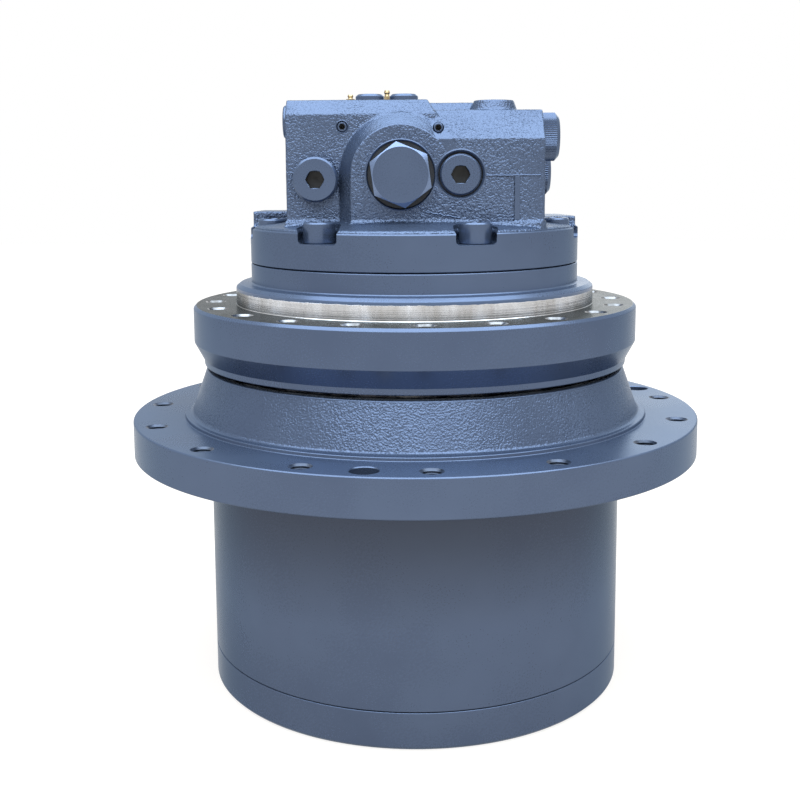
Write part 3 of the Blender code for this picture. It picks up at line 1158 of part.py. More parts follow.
def make_front_plugs():
    """The spool cap, the two hexagon socket plugs and the two orifice plugs on the front."""
    front = (0.0, -1.0, 0.0)
    recess = BLOCK_FRONT_Y + BLOCK_RECESS
    seat = BLOCK_FRONT_Y + CAP_SPOTFACE_DEPTH - SEAT
    cap = plate("spool_cap", [hexagon(CAP_ACROSS_FLATS, math.radians(CAP_TURN + 90.0))], 0.0, CAP_HEAD,
                "slate_paint")
    crown = solid_turned("spool_cap_crown", [
        (0.0, CAP_HEAD + MM), (CAP_CROWN_RADIUS, CAP_HEAD + MM),
        (CAP_SKIRT_RADIUS, CAP_HEAD - CAP_CROWN_DROP), (CAP_SKIRT_RADIUS, -MM), (0.0, -MM)],
        sides=CORE_SIDES)
    combine(cap, crown, "INTERSECT")
    settle(cap)
    join(cap, solid_turned("spool_cap_shank", rod_profile(CAP_SHANK_RADIUS, -CAP_SHANK_LENGTH, MM),
                           sides=CORE_SIDES))
    settle(cap)
    aim(cap, (SPOOL_X, seat, Z_SPOOL), front)
    shank = PLUG_SHANK_LENGTH - SEAT
    right = plug("right_plug", RIGHT_PLUG_RADIUS, RIGHT_PLUG_HEAD, PLUG_SHANK_RADIUS, shank, PLUG_CHAMFER)
    left = plug("left_plug", LEFT_PLUG_RADIUS, LEFT_PLUG_HEAD, PLUG_SHANK_RADIUS, shank, PLUG_CHAMFER)
    for thing, head in ((right, RIGHT_PLUG_HEAD), (left, LEFT_PLUG_HEAD)):
        cut(thing, plate(thing.name + "_socket", [hexagon(PLUG_SOCKET_FLATS)],
                         head - PLUG_SOCKET_DEPTH, head + MM))
        settle(thing)
    aim(right, (RIGHT_PLUG_X, BLOCK_FRONT_Y + RIGHT_SPOTFACE_DEPTH - SEAT, Z_SPOOL), front)
    aim(left, (LEFT_PLUG_X, recess - SEAT, Z_SPOOL - LEFT_PLUG_DROP), front)
    for index, (x, rise, on_recess) in enumerate(ORIFICE_PLACES):
        y = recess if on_recess else BLOCK_FRONT_Y
        setback = orifice_setback(on_recess, rise)
        orifice = solid_turned("orifice_plug_%d" % (index + 1), rod_profile(
            ORIFICE_RADIUS, -ORIFICE_LENGTH, 0.0), "gear_steel", PIN_SIDES)
        aim(orifice, (x, y + setback + ORIFICE_SINK - 2.0 * SEAT, Z_REAR_FACE + rise), front)


def make_side_and_top_fittings():
    """The relief valve caps, the side plug, the port caps with their washers, and the bleed screws."""
    for index, (y, rise) in enumerate(RELIEF_PLACES):
        cap = plug("relief_valve_%d" % (index + 1), RELIEF_RADIUS, RELIEF_HEAD - SEAT, RELIEF_SHANK_RADIUS,
                   RELIEF_SHANK_LENGTH - SEAT, RELIEF_CHAMFER)
        aim(cap, (BLOCK_RIGHT_X + SEAT, y, Z_REAR_FACE + rise), (1.0, 0.0, 0.0))
    side = plug("side_plug", SIDE_PLUG_RADIUS, SIDE_PLUG_HEAD - SEAT, PORT_CAP_SHANK_RADIUS,
                PORT_CAP_SHANK_LENGTH - SEAT, MM, sides=PIN_SIDES)
    aim(side, (BLOCK_LEFT_X - SEAT, SIDE_PLUG_Y, Z_REAR_FACE + SIDE_PLUG_RISE), (-1.0, 0.0, 0.0))
    for index, (x, y) in enumerate(PORT_CAP_PLACES):
        washer = turned("port_washer_%d" % (index + 1), tube_profile(
            round_bore(PORT_CAP_SHANK_RADIUS + SEAT, PIN_SIDES), PORT_WASHER_RADIUS, Z_BLOCK_LEFT + SEAT,
            Z_BLOCK_LEFT + SEAT + PORT_WASHER_THICKNESS), "yellow_zinc", PIN_SIDES)
        washer.location = (x, y, 0.0)
        seat = Z_BLOCK_LEFT + 2.0 * SEAT + PORT_WASHER_THICKNESS
        cap = plug("port_cap_%d" % (index + 1), PORT_CAP_RADIUS, PORT_CAP_HEIGHT, PORT_CAP_SHANK_RADIUS,
                   PORT_CAP_SHANK_LENGTH, MM, sides=PIN_SIDES)
        cap.location = (x, y, seat)
    for index, (x, y, rise) in enumerate(BLEED_PLACES):
        screw = plug("bleed_screw_%d" % (index + 1), BLEED_RADIUS, rise, BLEED_SHANK_RADIUS,
                     BLEED_SHANK_LENGTH - SEAT, BLEED_CHAMFER, "yellow_zinc", HOLE_SIDES)
        screw.location = (x, y, Z_BLOCK_LEFT + SEAT)


def make_cover_bolts():
    """The socket head bolts in the notches of the rear cover."""
    seat = Z_REAR_FACE - NOTCH_DEPTH + SEAT
    for index, angle in enumerate(REAR_BOLT_ANGLES):
        x, y = front_place(REAR_BOLT_RADIUS, angle)
        bolt = solid_turned("cover_bolt_%d" % (index + 1), [
            (0.0, BOLT_HEAD_HEIGHT), (BOLT_HEAD_RADIUS, BOLT_HEAD_HEIGHT), (BOLT_HEAD_RADIUS, 0.0),
            (BOLT_SHANK_RADIUS, 0.0), (BOLT_SHANK_RADIUS, -BOLT_GRIP), (0.0, -BOLT_GRIP)],
            "slate_paint", HOLE_SIDES)
        bolt.location = (x, y, seat)


def make_spool():
    """The counterbalance spool, with two lands, sliding in the bore behind the spool cap."""
    end, land = 0.5 * SPOOL_LENGTH, 0.5 * SPOOL_NECK_LENGTH
    spool = solid_turned("counterbalance_spool", [
        (0.0, end), (SPOOL_RADIUS, end), (SPOOL_RADIUS, land), (SPOOL_NECK_RADIUS, land),
        (SPOOL_NECK_RADIUS, -land), (SPOOL_RADIUS, -land), (SPOOL_RADIUS, -end), (0.0, -end)],
        "gear_steel", CORE_SIDES)
    near = BLOCK_FRONT_Y + CAP_SPOTFACE_DEPTH + CAP_SHANK_LENGTH
    middle = near + 2.0 * SEAT + SPOOL_TRAVEL + end
    aim(spool, (SPOOL_X, middle, Z_SPOOL), (0.0, -1.0, 0.0))


def build():
    start_scene()
    make_hub()
    make_end_cover()
    make_oil_plugs()
    make_bearing("lower_bearing", LOWER_SEAT_RADIUS, Z_LOWER_RACE)
    make_bearing("upper_bearing", UPPER_SEAT_RADIUS, Z_UPPER_RACE)
    make_bearing_nut()
    make_floating_seal()
    make_spindle()
    make_carrier_2()
    make_carrier_1()
    make_planets(1, SUN_1_TEETH, PLANET_1_TEETH, PLANET_1_COUNT, PIN_1_RADIUS, Z_PLANET_1, PLANET_1_WIDTH)
    make_planets(2, SUN_2_TEETH, PLANET_2_TEETH, PLANET_2_COUNT, PIN_2_RADIUS, Z_PLANET_2, PLANET_2_WIDTH)
    make_sun_2()
    make_shaft()
    make_shaft_bearing()
    make_motor()
    make_brake()
    make_rear_cover()
    make_spool()
    make_front_plugs()
    make_side_and_top_fittings()
    make_cover_bolts()


build()
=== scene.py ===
"""Looks of a crawler final drive: slate paint over turned and cast iron, bare machined steel, thread
and socket detail, and the finishes of the gears, bearings and motor inside.
"""

import math

import bmesh
import bpy
from mathutils import Matrix, Vector, noise


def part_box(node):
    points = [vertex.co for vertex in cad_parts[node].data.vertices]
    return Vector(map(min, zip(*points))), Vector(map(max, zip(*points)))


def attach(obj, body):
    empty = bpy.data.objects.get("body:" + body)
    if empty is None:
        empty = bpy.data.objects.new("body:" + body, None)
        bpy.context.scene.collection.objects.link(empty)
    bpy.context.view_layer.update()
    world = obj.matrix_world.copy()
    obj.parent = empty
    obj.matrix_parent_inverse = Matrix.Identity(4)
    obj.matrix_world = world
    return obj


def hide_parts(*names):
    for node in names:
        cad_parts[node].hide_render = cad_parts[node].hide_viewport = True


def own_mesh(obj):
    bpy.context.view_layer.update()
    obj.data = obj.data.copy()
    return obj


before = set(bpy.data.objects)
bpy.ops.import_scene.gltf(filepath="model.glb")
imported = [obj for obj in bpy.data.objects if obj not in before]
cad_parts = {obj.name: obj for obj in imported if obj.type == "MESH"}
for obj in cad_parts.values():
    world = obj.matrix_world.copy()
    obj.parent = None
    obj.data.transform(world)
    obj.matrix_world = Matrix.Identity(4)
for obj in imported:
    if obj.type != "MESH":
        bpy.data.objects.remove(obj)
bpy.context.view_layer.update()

MM = 0.001
MERGE = 0.001 * MM
SIDES = 192
ARC_STEPS = 3
UP = Vector((0.0, 0.0, 1.0))
FRONT, BACK, LEFT, RIGHT = (0, -1, 0), (0, 1, 0), (-1, 0, 0), (1, 0, 0)
AXIS = [(0.0, 0.0)]

# Heights and radii of the hub and end cover
COVER_JOINT = 30.0 * MM
JOINT_GAP = 0.6 * MM
DRUM = 175.0 * MM
REGISTER = 176.5 * MM
FLANGE_LOW = 197.0 * MM
FLANGE_HIGH = 227.0 * MM
FLANGE_EDGE = 238.7 * MM
BEAD_EDGE = 196.0 * MM
BEAD_TOP = 230.0 * MM
CONE_FOOT = 189.5 * MM
LIP_EDGE = 176.9 * MM
LIP = 266.7 * MM
SPROCKET_CIRCLE = 222.0 * MM
SPROCKET_COUNT = 15
SPROCKET_START = 3.0
JACK_COUNT = 3
JACK_HOLE = 10.5 * MM
COVER_SCREW_CIRCLE = 158.0 * MM
COVER_SCREW_COUNT = 12
OIL_PLUG_CIRCLE = 92.0 * MM

# Heights and radii of the spindle
SKIRT_LOW = 270.7 * MM
SKIRT_EDGE = 178.6 * MM
SKIRT_BAND = 275.7 * MM
FRAME_LOW = 290.0 * MM
FRAME_HIGH = 320.0 * MM
FRAME_EDGE = 186.8 * MM
FRAME_CIRCLE = 169.5 * MM
FRAME_COUNT = 20
FRAME_START = 2.6
FRAME_HOLE_DEPTH = 26.0 * MM
PILOT = 151.0 * MM
PILOT_TOP = 337.2 * MM
BARE_TOP = 332.0 * MM
CASE = 138.0 * MM
CASE_JOINT = 354.5 * MM

# Thread of the M16 holes
HOLE_MOUTH = 8.8 * MM
THREAD_MINOR = 6.9 * MM
THREAD_MAJOR = 8.0 * MM
THREAD_PITCH = 2.0 * MM
THREAD_MOUTH = 0.6 * MM

# Rear cover and valve block
COVER_FACE = 385.1 * MM
COVER_EDGE = 383.4 * MM
CASTING_ROOT = 379.5 * MM
CASTING_EDGE = 136.2 * MM
CROWN_EDGE = 98.0 * MM
CROWN = 4.5 * MM
BOLT_CIRCLE = 119.0 * MM
BOLT_ANGLES = (-80.0, -38.0, 23.0, 76.0, 125.0, 165.0, -155.0, -115.0)
NOTCH_ANGLES = (-80.0, 0.0, 0.0, 76.0, 125.0, 180.0, 180.0, -115.0)
NOTCH_EDGE = 15.5 * MM
NOTCH_FLOOR = 374.5 * MM
BOLT_SEAT = 374.8 * MM
BLOCK_LEFT = -100.0 * MM
BLOCK_RIGHT = 101.0 * MM
BLOCK_FRONT = -92.0 * MM
RECESS_FRONT = -76.0 * MM
BLOCK_WAIST = 38.0 * MM
BLOCK_BACK = 90.0 * MM
BLOCK_LEFT_TOP = 485.1 * MM
BLOCK_RIGHT_TOP = 476.6 * MM
BLOCK_LEAN = 0.6
LEFT_BEVEL = 11.3 * MM
RIGHT_BEVEL = 22.6 * MM
BACK_HALF_WIDTH = 82.0 * MM
BACK_TOP = 475.6 * MM
RIDGE_TOP = 483.6 * MM
SMALL_BEVEL = 7.0 * MM
SPOOL_X = -9.9 * MM
SPOOL_Z = 426.6 * MM
ARCH_EDGE = 48.5 * MM
ARCH_FACE_EDGE = 38.5 * MM
ARCH_LEFT = -48.4 * MM
ARCH_FOOT = -58.4 * MM
RIGHT_PLUG_X = 36.1 * MM
LEFT_PLUG_X = -76.6 * MM
LEFT_PLUG_Z = 423.2 * MM
RELIEF_CAPS = ((-55.0 * MM, 455.7 * MM), (4.0 * MM, 428.1 * MM))
SIDE_PLUG = (BLOCK_LEFT, -40.0 * MM, 469.1 * MM)
PORT_CAPS = ((-35.6 * MM, -24.0 * MM), (-7.8 * MM, -24.0 * MM))
BLEED_SCREWS = ((-22.2 * MM, 5.0 * MM, 11.5 * MM), (-53.0 * MM, 5.0 * MM, 8.0 * MM))
ORIFICES = ((-55.6 * MM, RECESS_FRONT, 463.9 * MM), (19.2 * MM, BLOCK_FRONT + 8.5 * MM, 462.5 * MM))
MAIN_PORTS = (-34.0 * MM, 34.0 * MM)
MAIN_PORT_Z = 431.1 * MM
PLUG_FLATS = 13.0
CAP_FLATS = 44.0 * MM
CAP_TURN = math.radians(7.7)
VOXEL = 0.85 * MM
CASTING_SHARE = 0.27
SKIN_LUMPS = ((210.0, 0.08), (45.0, 0.14))

# Disc spring of the brake
SPRING_INNER = 80.0 * MM
SPRING_THICKNESS = 3.0 * MM

# Slate paint: its colours, and the scales of its textures in lumps to the metre
PAINT_DARK = (0.086, 0.113, 0.175)
PAINT_LIGHT = (0.103, 0.135, 0.205)
# Painted shade in the pits of the cast grain
CAST_PIT_SHADE = (0.046, 0.062, 0.098)
# Painted shade on the drum under the sprocket flange
UNDER_FLANGE_SHADE = (0.034, 0.033, 0.034)
CLOUDS, SPECKS, PEEL, LEATHER, DENTS, PATCHES = 9.0, 700.0, 420.0, 680.0, 230.0, 17.0

# Bare steel: its colours, and the grain of the other metals
STEEL_DARK, STEEL_LIGHT, STEEL_STAIN = (0.50, 0.49, 0.48), (0.78, 0.80, 0.84), (0.22, 0.20, 0.17)
# The flange face's darker steel is painted shade, standing in for the face's dark reflections
FACE_SHADED_DARK, FACE_SHADED_LIGHT = (0.14, 0.145, 0.14), (0.26, 0.27, 0.28)
METAL_GRAIN = 400.0

# Light, and the picture that the camera was fitted to
WORLD_LIGHT = 0.30
LAMP_AIM = (0.0, 0.0, 0.25)
FLOOR_SIZE = 6.0
PICTURE = 800.0
FOCAL_LENGTH = 1156.728
HORIZON_ROW = 331.72
SENSOR = 36.0


# ---- Finishes ----


def node(tree, kind, inputs=None, **settings):
    """Add a shader node, with its settings, values and incoming links."""
    made = tree.nodes.new("ShaderNode" + kind)
    for setting, value in settings.items():
        setattr(made, setting, value)
    for socket, value in (inputs or {}).items():
        if isinstance(value, bpy.types.NodeSocket):
            tree.links.new(value, made.inputs[socket])
        else:
            made.inputs[socket].default_value = value
    return made


def calc(tree, operation, first, *others):
    """Work out values or links one after the other, such as a sum or a product."""
    for other in others:
        first = node(tree, "Math", {0: first, 1: other}, operation=operation).outputs[0]
    return first


def product(tree, *values):
    """The product of values or links."""
    return calc(tree, "MULTIPLY", *values)


def masked(tree, vector, mask):
    """A vector times a mask, part by part."""
    return node(tree, "VectorMath", {0: vector, 1: mask}, operation="MULTIPLY").outputs[0]


def length(tree, vector, mask):
    """The length of a vector's parts that the mask keeps."""
    return node(tree, "VectorMath", {0: masked(tree, vector, mask)}, operation="LENGTH").outputs["Value"]


def grain(tree, place, scale, detail=2.0, roughness=0.5, distortion=0.0):
    """Noise of this scale, in lumps to the metre, between 0 and 1."""
    return node(tree, "TexNoise", {"Vector": place, "Scale": scale, "Detail": detail,
                "Roughness": roughness, "Distortion": distortion}).outputs["Fac"]


def stepped(tree, value, low, high, bottom=0.0, top=1.0):
    """Spread a value from one range to another, clamped."""
    return node(tree, "MapRange", {"Value": value, "From Min": low, "From Max": high,
                "To Min": bottom, "To Max": top}).outputs["Result"]


def blend(tree, share, first, second):
    """Mix two colours, each a colour or a link."""
    first, second = (colour if isinstance(colour, bpy.types.NodeSocket) else (*colour, 1.0)
                     for colour in (first, second))
    return node(tree, "Mix", {0: share, 6: first, 7: second}, data_type="RGBA").outputs[2]


def start_finish(name, **sockets):
    """A material with its tree, its shader, its Object coordinates, their parts and the reach from the axis."""
    finish = bpy.data.materials.new(name)
    finish.use_nodes = True
    tree = finish.node_tree
    shader = tree.nodes["Principled BSDF"]
    for socket, value in sockets.items():
        shader.inputs[socket.replace("_", " ")].default_value = value
    place = node(tree, "TexCoord").outputs["Object"]
    parts = node(tree, "SeparateXYZ", {0: place}).outputs
    return finish, tree, shader, place, parts, length(tree, place, (1.0, 1.0, 0.0))


def turning_marks(tree, parts, reach, pitch):
    """Fine rings left by the lathe, round the axis and slowly varying along each ring."""
    across_rings = product(tree, calc(tree, "ADD", parts[2], reach), 1.0 / pitch)
    along = [product(tree, part, 4.0) for part in (parts[0], parts[1])]
    vector = node(tree, "CombineXYZ", {0: along[0], 1: along[1], 2: across_rings}).outputs[0]
    return grain(tree, vector, 1.0, 2.0, 0.6)


def covered(finish, colour, rough, height, distance):
    """Give a finish its colour, its roughness and a relief of this distance in millimetres."""
    tree = finish.node_tree
    bump = node(tree, "Bump", {"Height": height, "Distance": distance * MM, "Strength": 1.0})
    for value, socket in ((colour, "Base Color"), (rough, "Roughness"), (bump.outputs[0], "Normal")):
        tree.links.new(value, tree.nodes["Principled BSDF"].inputs[socket])
    return finish


def on_arch(tree, place, parts):
    """The smooth slope of the arch round the spool cap, 1 on it and 0 elsewhere."""
    off_axis = node(tree, "VectorMath", {0: place, 1: (SPOOL_X, 0.0, SPOOL_Z)}, operation="SUBTRACT")
    away = length(tree, off_axis.outputs[0], (1.0, 0.0, 1.0))
    return product(tree, stepped(tree, away, ARCH_FACE_EDGE - 0.5 * MM, ARCH_FACE_EDGE + MM),
                   stepped(tree, away, ARCH_EDGE + MM, ARCH_EDGE - 1.5 * MM),
                   stepped(tree, parts[2], SPOOL_Z - 4.0 * MM, SPOOL_Z + 4.0 * MM),
                   calc(tree, "LESS_THAN", parts[1], -60.0 * MM))


def in_zone(tree, parts, reach, zone):
    """1 between two heights and inside a radius, and 0 elsewhere."""
    low, high, edge = zone
    return product(tree, calc(tree, "GREATER_THAN", parts[2], low), calc(tree, "LESS_THAN", parts[2], high),
                   calc(tree, "LESS_THAN", reach, edge))


def under_flange_shade_share(tree, parts, reach, cloud, shade_layer):
    """The share of painted shade on the drum under the sprocket flange, which stops at the flange's underside and
    edge.
    """
    flange_shade = stepped(tree, calc(tree, "ADD", parts[2], product(tree, cloud, 16.0 * MM)), *shade_layer, 0.0, 0.62)
    return product(tree, flange_shade, calc(tree, "LESS_THAN", parts[2], FLANGE_LOW + MM),
                   calc(tree, "LESS_THAN", reach, FLANGE_EDGE - 2.0 * MM))


def slate_paint(name, cast=0.0, cast_zone=None, shade_layer=None, highlight_tone=1.0):
    """Satin slate paint. Cast surfaces have a leathery grain, turned ones fine rings.

    Painted shade darkens the paint between two heights, strongest at the upper one, as under the sprocket flange. The
    highlight tone lightens the paint for a painted highlight.
    """
    finish, tree, _, place, parts, reach = start_finish(
        name, Metallic=0.65, Roughness=0.3, Specular_IOR_Level=0.06, Specular_Tint=(0.52, 0.6, 0.68, 1.0))
    cloud = grain(tree, place, CLOUDS, 3.0, 0.55)
    speck = grain(tree, place, SPECKS, 2.0, 0.6)
    # The highlight tone scales the paint's colours; above 1 it gives the lighter paint of a painted highlight
    dark, light = ([highlight_tone * part for part in paint] for paint in (PAINT_DARK, PAINT_LIGHT))
    colour = blend(tree, stepped(tree, cloud, 0.35, 0.65), dark, light)
    rough = stepped(tree, calc(tree, "ADD", cloud, product(tree, speck, 0.5)), 0.5, 1.0, 0.22, 0.34)
    height = calc(tree, "ADD", product(tree, grain(tree, place, PEEL, 1.0), 0.02),
                  product(tree, turning_marks(tree, parts, reach, 0.9 * MM), 0.01))
    if cast:
        leather = grain(tree, place, LEATHER, 1.0, 0.5, 0.2)
        skin = calc(tree, "ADD", product(tree, stepped(tree, leather, 0.25, 0.75), 0.5),
                    product(tree, grain(tree, place, DENTS, 1.0, 0.5), 0.3))
        share = product(tree, stepped(tree, grain(tree, place, PATCHES, 1.0), 0.38, 0.62, 0.55, 1.1), cast)
        if cast_zone:
            share = product(tree, in_zone(tree, parts, reach, cast_zone), share)
        else:
            smooth = product(tree, on_arch(tree, place, parts), 0.7)
            share = product(tree, share, calc(tree, "SUBTRACT", 1.0, smooth))
        height = calc(tree, "ADD", height, product(tree, skin, share))
        # Painted shade: the pits of the cast grain are darkened
        pit_shade = product(tree, stepped(tree, leather, 0.5, 0.34), share, 0.55)
        colour = blend(tree, pit_shade, colour, CAST_PIT_SHADE)
    # Painted shade under the sprocket flange, strongest just below it
    if shade_layer:
        colour = blend(tree, under_flange_shade_share(tree, parts, reach, cloud, shade_layer), colour, UNDER_FLANGE_SHADE)
    return covered(finish, colour, rough, height, 0.9)


def bare_steel(name):
    """Turned steel with stains, dull at a flat angle; on the flange's face a darker, uneven copy of it, painted shade
    for dark reflections; the paint above it ends in a ragged edge.
    """
    finish, tree, shader, place, parts, reach = start_finish(
        name, Metallic=1.0, Roughness=0.24, Specular_Tint=(0.32, 0.34, 0.35, 1.0))
    jitter = calc(tree, "SUBTRACT", grain(tree, place, 160.0, 4.0, 0.7), 0.5)
    ragged = calc(tree, "ADD", parts[2], product(tree, jitter, 1.8 * MM))
    painted = calc(tree, "GREATER_THAN", ragged, BARE_TOP)
    bare = calc(tree, "SUBTRACT", 1.0, painted)
    stain = grain(tree, masked(tree, place, (1.0, 1.0, 0.2)), 26.0, 4.0, 0.65, 0.4)
    marks = turning_marks(tree, parts, reach, 0.55 * MM)
    steel = blend(tree, stepped(tree, stain, 0.36, 0.62), STEEL_DARK, STEEL_LIGHT)
    steel = blend(tree, stepped(tree, marks, 0.3, 0.8, 0.0, 0.16), steel, STEEL_STAIN)
    # Darker steel on the flange's face: painted shade for its dark reflections, with an uneven tone
    shade_layer = stepped(tree, grain(tree, place, 34.0, 4.0, 0.7, 0.6), 0.35, 0.65)
    face = blend(tree, shade_layer, FACE_SHADED_DARK, FACE_SHADED_LIGHT)
    steel = blend(tree, calc(tree, "LESS_THAN", parts[2], FRAME_HIGH + 0.1 * MM), steel, face)
    rough = stepped(tree, calc(tree, "ADD", marks, painted), 0.3, 1.3, 0.2, 0.36)
    tree.links.new(bare, shader.inputs["Metallic"])
    return covered(finish, blend(tree, painted, steel, PAINT_LIGHT), rough, product(tree, marks, bare), 0.12)


def metal(name, dark, light, roughness, scale=60.0, metallic=1.0, bump=0.04):
    """A machined or as-cast metal: two tones in clouds, a fine grain and an uneven gloss."""
    finish, tree, _, place, _, _ = start_finish(name, Metallic=metallic, Roughness=roughness)
    cloud = grain(tree, place, scale, 3.0, 0.6)
    fine = grain(tree, place, METAL_GRAIN, 2.0, 0.6)
    colour = blend(tree, stepped(tree, cloud, 0.35, 0.65), dark, light)
    colour = blend(tree, stepped(tree, fine, 0.45, 0.8, 0.0, 0.5), colour, dark)
    rough = stepped(tree, cloud, 0.3, 0.7, roughness - 0.06, roughness + 0.08)
    return covered(finish, colour, rough, fine, bump)


# ---- Shaping ----


def in_metres(*corners):
    """Corners given in millimetres."""
    return [tuple(value * MM for value in corner) for corner in corners]


def welded(shape):
    """Merge the corners that meet, and turn each face outwards."""
    bmesh.ops.remove_doubles(shape, verts=shape.verts, dist=MERGE)
    bmesh.ops.recalc_face_normals(shape, faces=shape.faces)
    return shape


def rounded(section, closed):
    """The points of a section. A corner is (radius, height) or (radius, height, fillet)."""
    points = []
    for index, corner in enumerate(section):
        here = Vector(corner[:2])
        open_end = not closed and index in (0, len(section) - 1)
        if len(corner) < 3 or open_end:
            points.append(here)
            continue
        before = (Vector(section[index - 1][:2]) - here).normalized()
        after = (Vector(section[(index + 1) % len(section)][:2]) - here).normalized()
        half = 0.5 * before.angle(after)
        centre = here + (before + after).normalized() * corner[2] / math.sin(half)
        first = here + before * corner[2] / math.tan(half) - centre
        last = here + after * corner[2] / math.tan(half) - centre
        for step in range(ARC_STEPS + 1):
            share = step / ARC_STEPS
            points.append(centre + (first * (1.0 - share) + last * share).normalized() * corner[2])
    return points


def spun(section, sides=SIDES, closed=False):
    """Spin a section about +Z. An open section starts and ends on the axis."""
    shape = bmesh.new()
    corners = [shape.verts.new((radius, 0.0, height)) for radius, height in rounded(section, closed)]
    pairs = list(zip(corners, corners[1:]))
    if closed:
        pairs.append((corners[-1], corners[0]))
    edges = [shape.edges.new(pair) for pair in pairs]
    bmesh.ops.spin(shape, geom=corners + edges, cent=(0.0, 0.0, 0.0), axis=UP, angle=math.tau, steps=sides,
                   use_merge=True)
    return welded(shape)


def rods(places, radius, low, high, sides=48, turn=0.0):
    """Upright rods at the given places, in one shape."""
    shape = bmesh.new()
    for x, y in places:
        place = Matrix.Translation((x, y, 0.5 * (low + high))) @ Matrix.Rotation(turn, 4, "Z")
        bmesh.ops.create_cone(shape, cap_ends=True, segments=sides, radius1=radius, radius2=radius,
                              depth=high - low, matrix=place)
    return shape


def slab(low, high):
    """A box between two corners."""
    shape = bmesh.new()
    low, high = Vector(low), Vector(high)
    bmesh.ops.create_cube(shape, size=1.0, matrix=Matrix.Translation(0.5 * (low + high))
                          @ Matrix.Diagonal((*(high - low), 1.0)))
    return shape


def move_grown(shape, grown, move):
    """Move the corners that an extrusion has added."""
    corners = [part for part in grown["geom"] if isinstance(part, bmesh.types.BMVert)]
    bmesh.ops.translate(shape, verts=corners, vec=move)


def extruded(corners, move):
    """A block from a flat outline of corners and the move that draws it out."""
    shape = bmesh.new()
    face = shape.faces.new([shape.verts.new(corner) for corner in corners])
    move_grown(shape, bmesh.ops.extrude_face_region(shape, geom=[face]), move)
    return welded(shape)


def across(left, right, outline):
    """A block between two X planes with this outline of (Y, Z) corners."""
    return extruded([(left, y, z) for y, z in outline], (right - left, 0.0, 0.0))


def placed(shape, location, direction=UP, turn=0.0):
    """Point a shape made along +Z another way, and move it to its place."""
    aim = UP.rotation_difference(Vector(direction)).to_matrix().to_4x4()
    matrix = Matrix.Translation(location) @ aim @ Matrix.Rotation(turn, 4, "Z")
    bmesh.ops.transform(shape, matrix=matrix, verts=shape.verts)
    return shape


def together(*shapes):
    """Put several shapes in one."""
    whole = bmesh.new()
    for shape in shapes:
        part = bpy.data.meshes.new("part")
        shape.to_mesh(part)
        shape.free()
        whole.from_mesh(part)
        bpy.data.meshes.remove(part)
    return whole


def linked(name, data):
    """A new object of the scene."""
    thing = bpy.data.objects.new(name, data)
    bpy.context.scene.collection.objects.link(thing)
    return thing


def as_object(shape, name="tool"):
    """Turn a shape into an object."""
    mesh = bpy.data.meshes.new(name)
    shape.to_mesh(mesh)
    shape.free()
    return linked(name, mesh)


def as_shape(thing):
    """The evaluated mesh of an object, which is then removed."""
    bpy.context.view_layer.update()
    mesh = bpy.data.meshes.new_from_object(thing.evaluated_get(bpy.context.evaluated_depsgraph_get()))
    shape = bmesh.new()
    shape.from_mesh(mesh)
    bpy.data.meshes.remove(mesh)
    bpy.data.objects.remove(thing)
    return shape


def carved(shape, *tools, operation="DIFFERENCE", solver="MANIFOLD"):
    """Cut, join or intersect a shape with each tool in turn."""
    thing = as_object(shape, "blank")
    cutters = [as_object(tool) for tool in tools]
    for cutter in cutters:
        step = thing.modifiers.new("carve", "BOOLEAN")
        step.operation, step.solver, step.object = operation, solver, cutter
    result = as_shape(thing)
    for cutter in cutters:
        bpy.data.objects.remove(cutter)
    return result


def piece(name, shape, finish, body, slot, *stands_for, crease=32.0):
    """Finish a shape as a named piece that rides on its body. A list of finishes fills its slots."""
    welded(shape)
    for face in shape.faces:
        face.smooth = True
    for edge in shape.edges:
        edge.smooth = len(edge.link_faces) == 2 and edge.calc_face_angle(0.0) < math.radians(crease)
    thing = as_object(shape, name)
    for layer in finish if isinstance(finish, list) else [finish]:
        thing.data.materials.append(layer)
    weigh = thing.modifiers.new("even_shading", "WEIGHTED_NORMAL")
    weigh.keep_sharp = True
    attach(thing, body)
    if stands_for:
        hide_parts(*stands_for)
    return thing


def circle_places(count, radius, first_angle):
    """Places round the axis; the first angle is in degrees from the front, -Y, towards +X."""
    angles = [math.radians(first_angle - 90.0 + index * 360.0 / count) for index in range(count)]
    return [(radius * math.cos(angle), radius * math.sin(angle)) for angle in angles]


def cad_cavity(name, radius, low, high):
    """The bores of a CAD node: a plain rod less the node."""
    inside = bmesh.new()
    inside.from_mesh(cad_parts[name].data)
    bmesh.ops.remove_doubles(inside, verts=inside.verts, dist=MERGE)
    return carved(rods(AXIS, radius, low, high, 96), inside, solver="EXACT")


def thread_liners(places, low, high, blind):
    """Tapped holes' walls: a bevelled mouth, thread ridges, and a plain end where the hole is blind."""
    wall, mouth = THREAD_MAJOR + 0.1 * MM, high - THREAD_MOUTH
    ridges = [(HOLE_MOUTH, low), (HOLE_MOUTH, high), (wall, mouth)]
    for turn in range(int((high - low - 3.0 * MM) / THREAD_PITCH)):
        top = mouth - turn * THREAD_PITCH
        ridges += [(THREAD_MINOR, top - 0.5 * THREAD_PITCH), (THREAD_MAJOR, top - THREAD_PITCH)]
    ridges.append((THREAD_MINOR if blind else wall, low))
    return together(*[placed(spun(ridges, 28, closed=True), (x, y, 0.0)) for x, y in places])


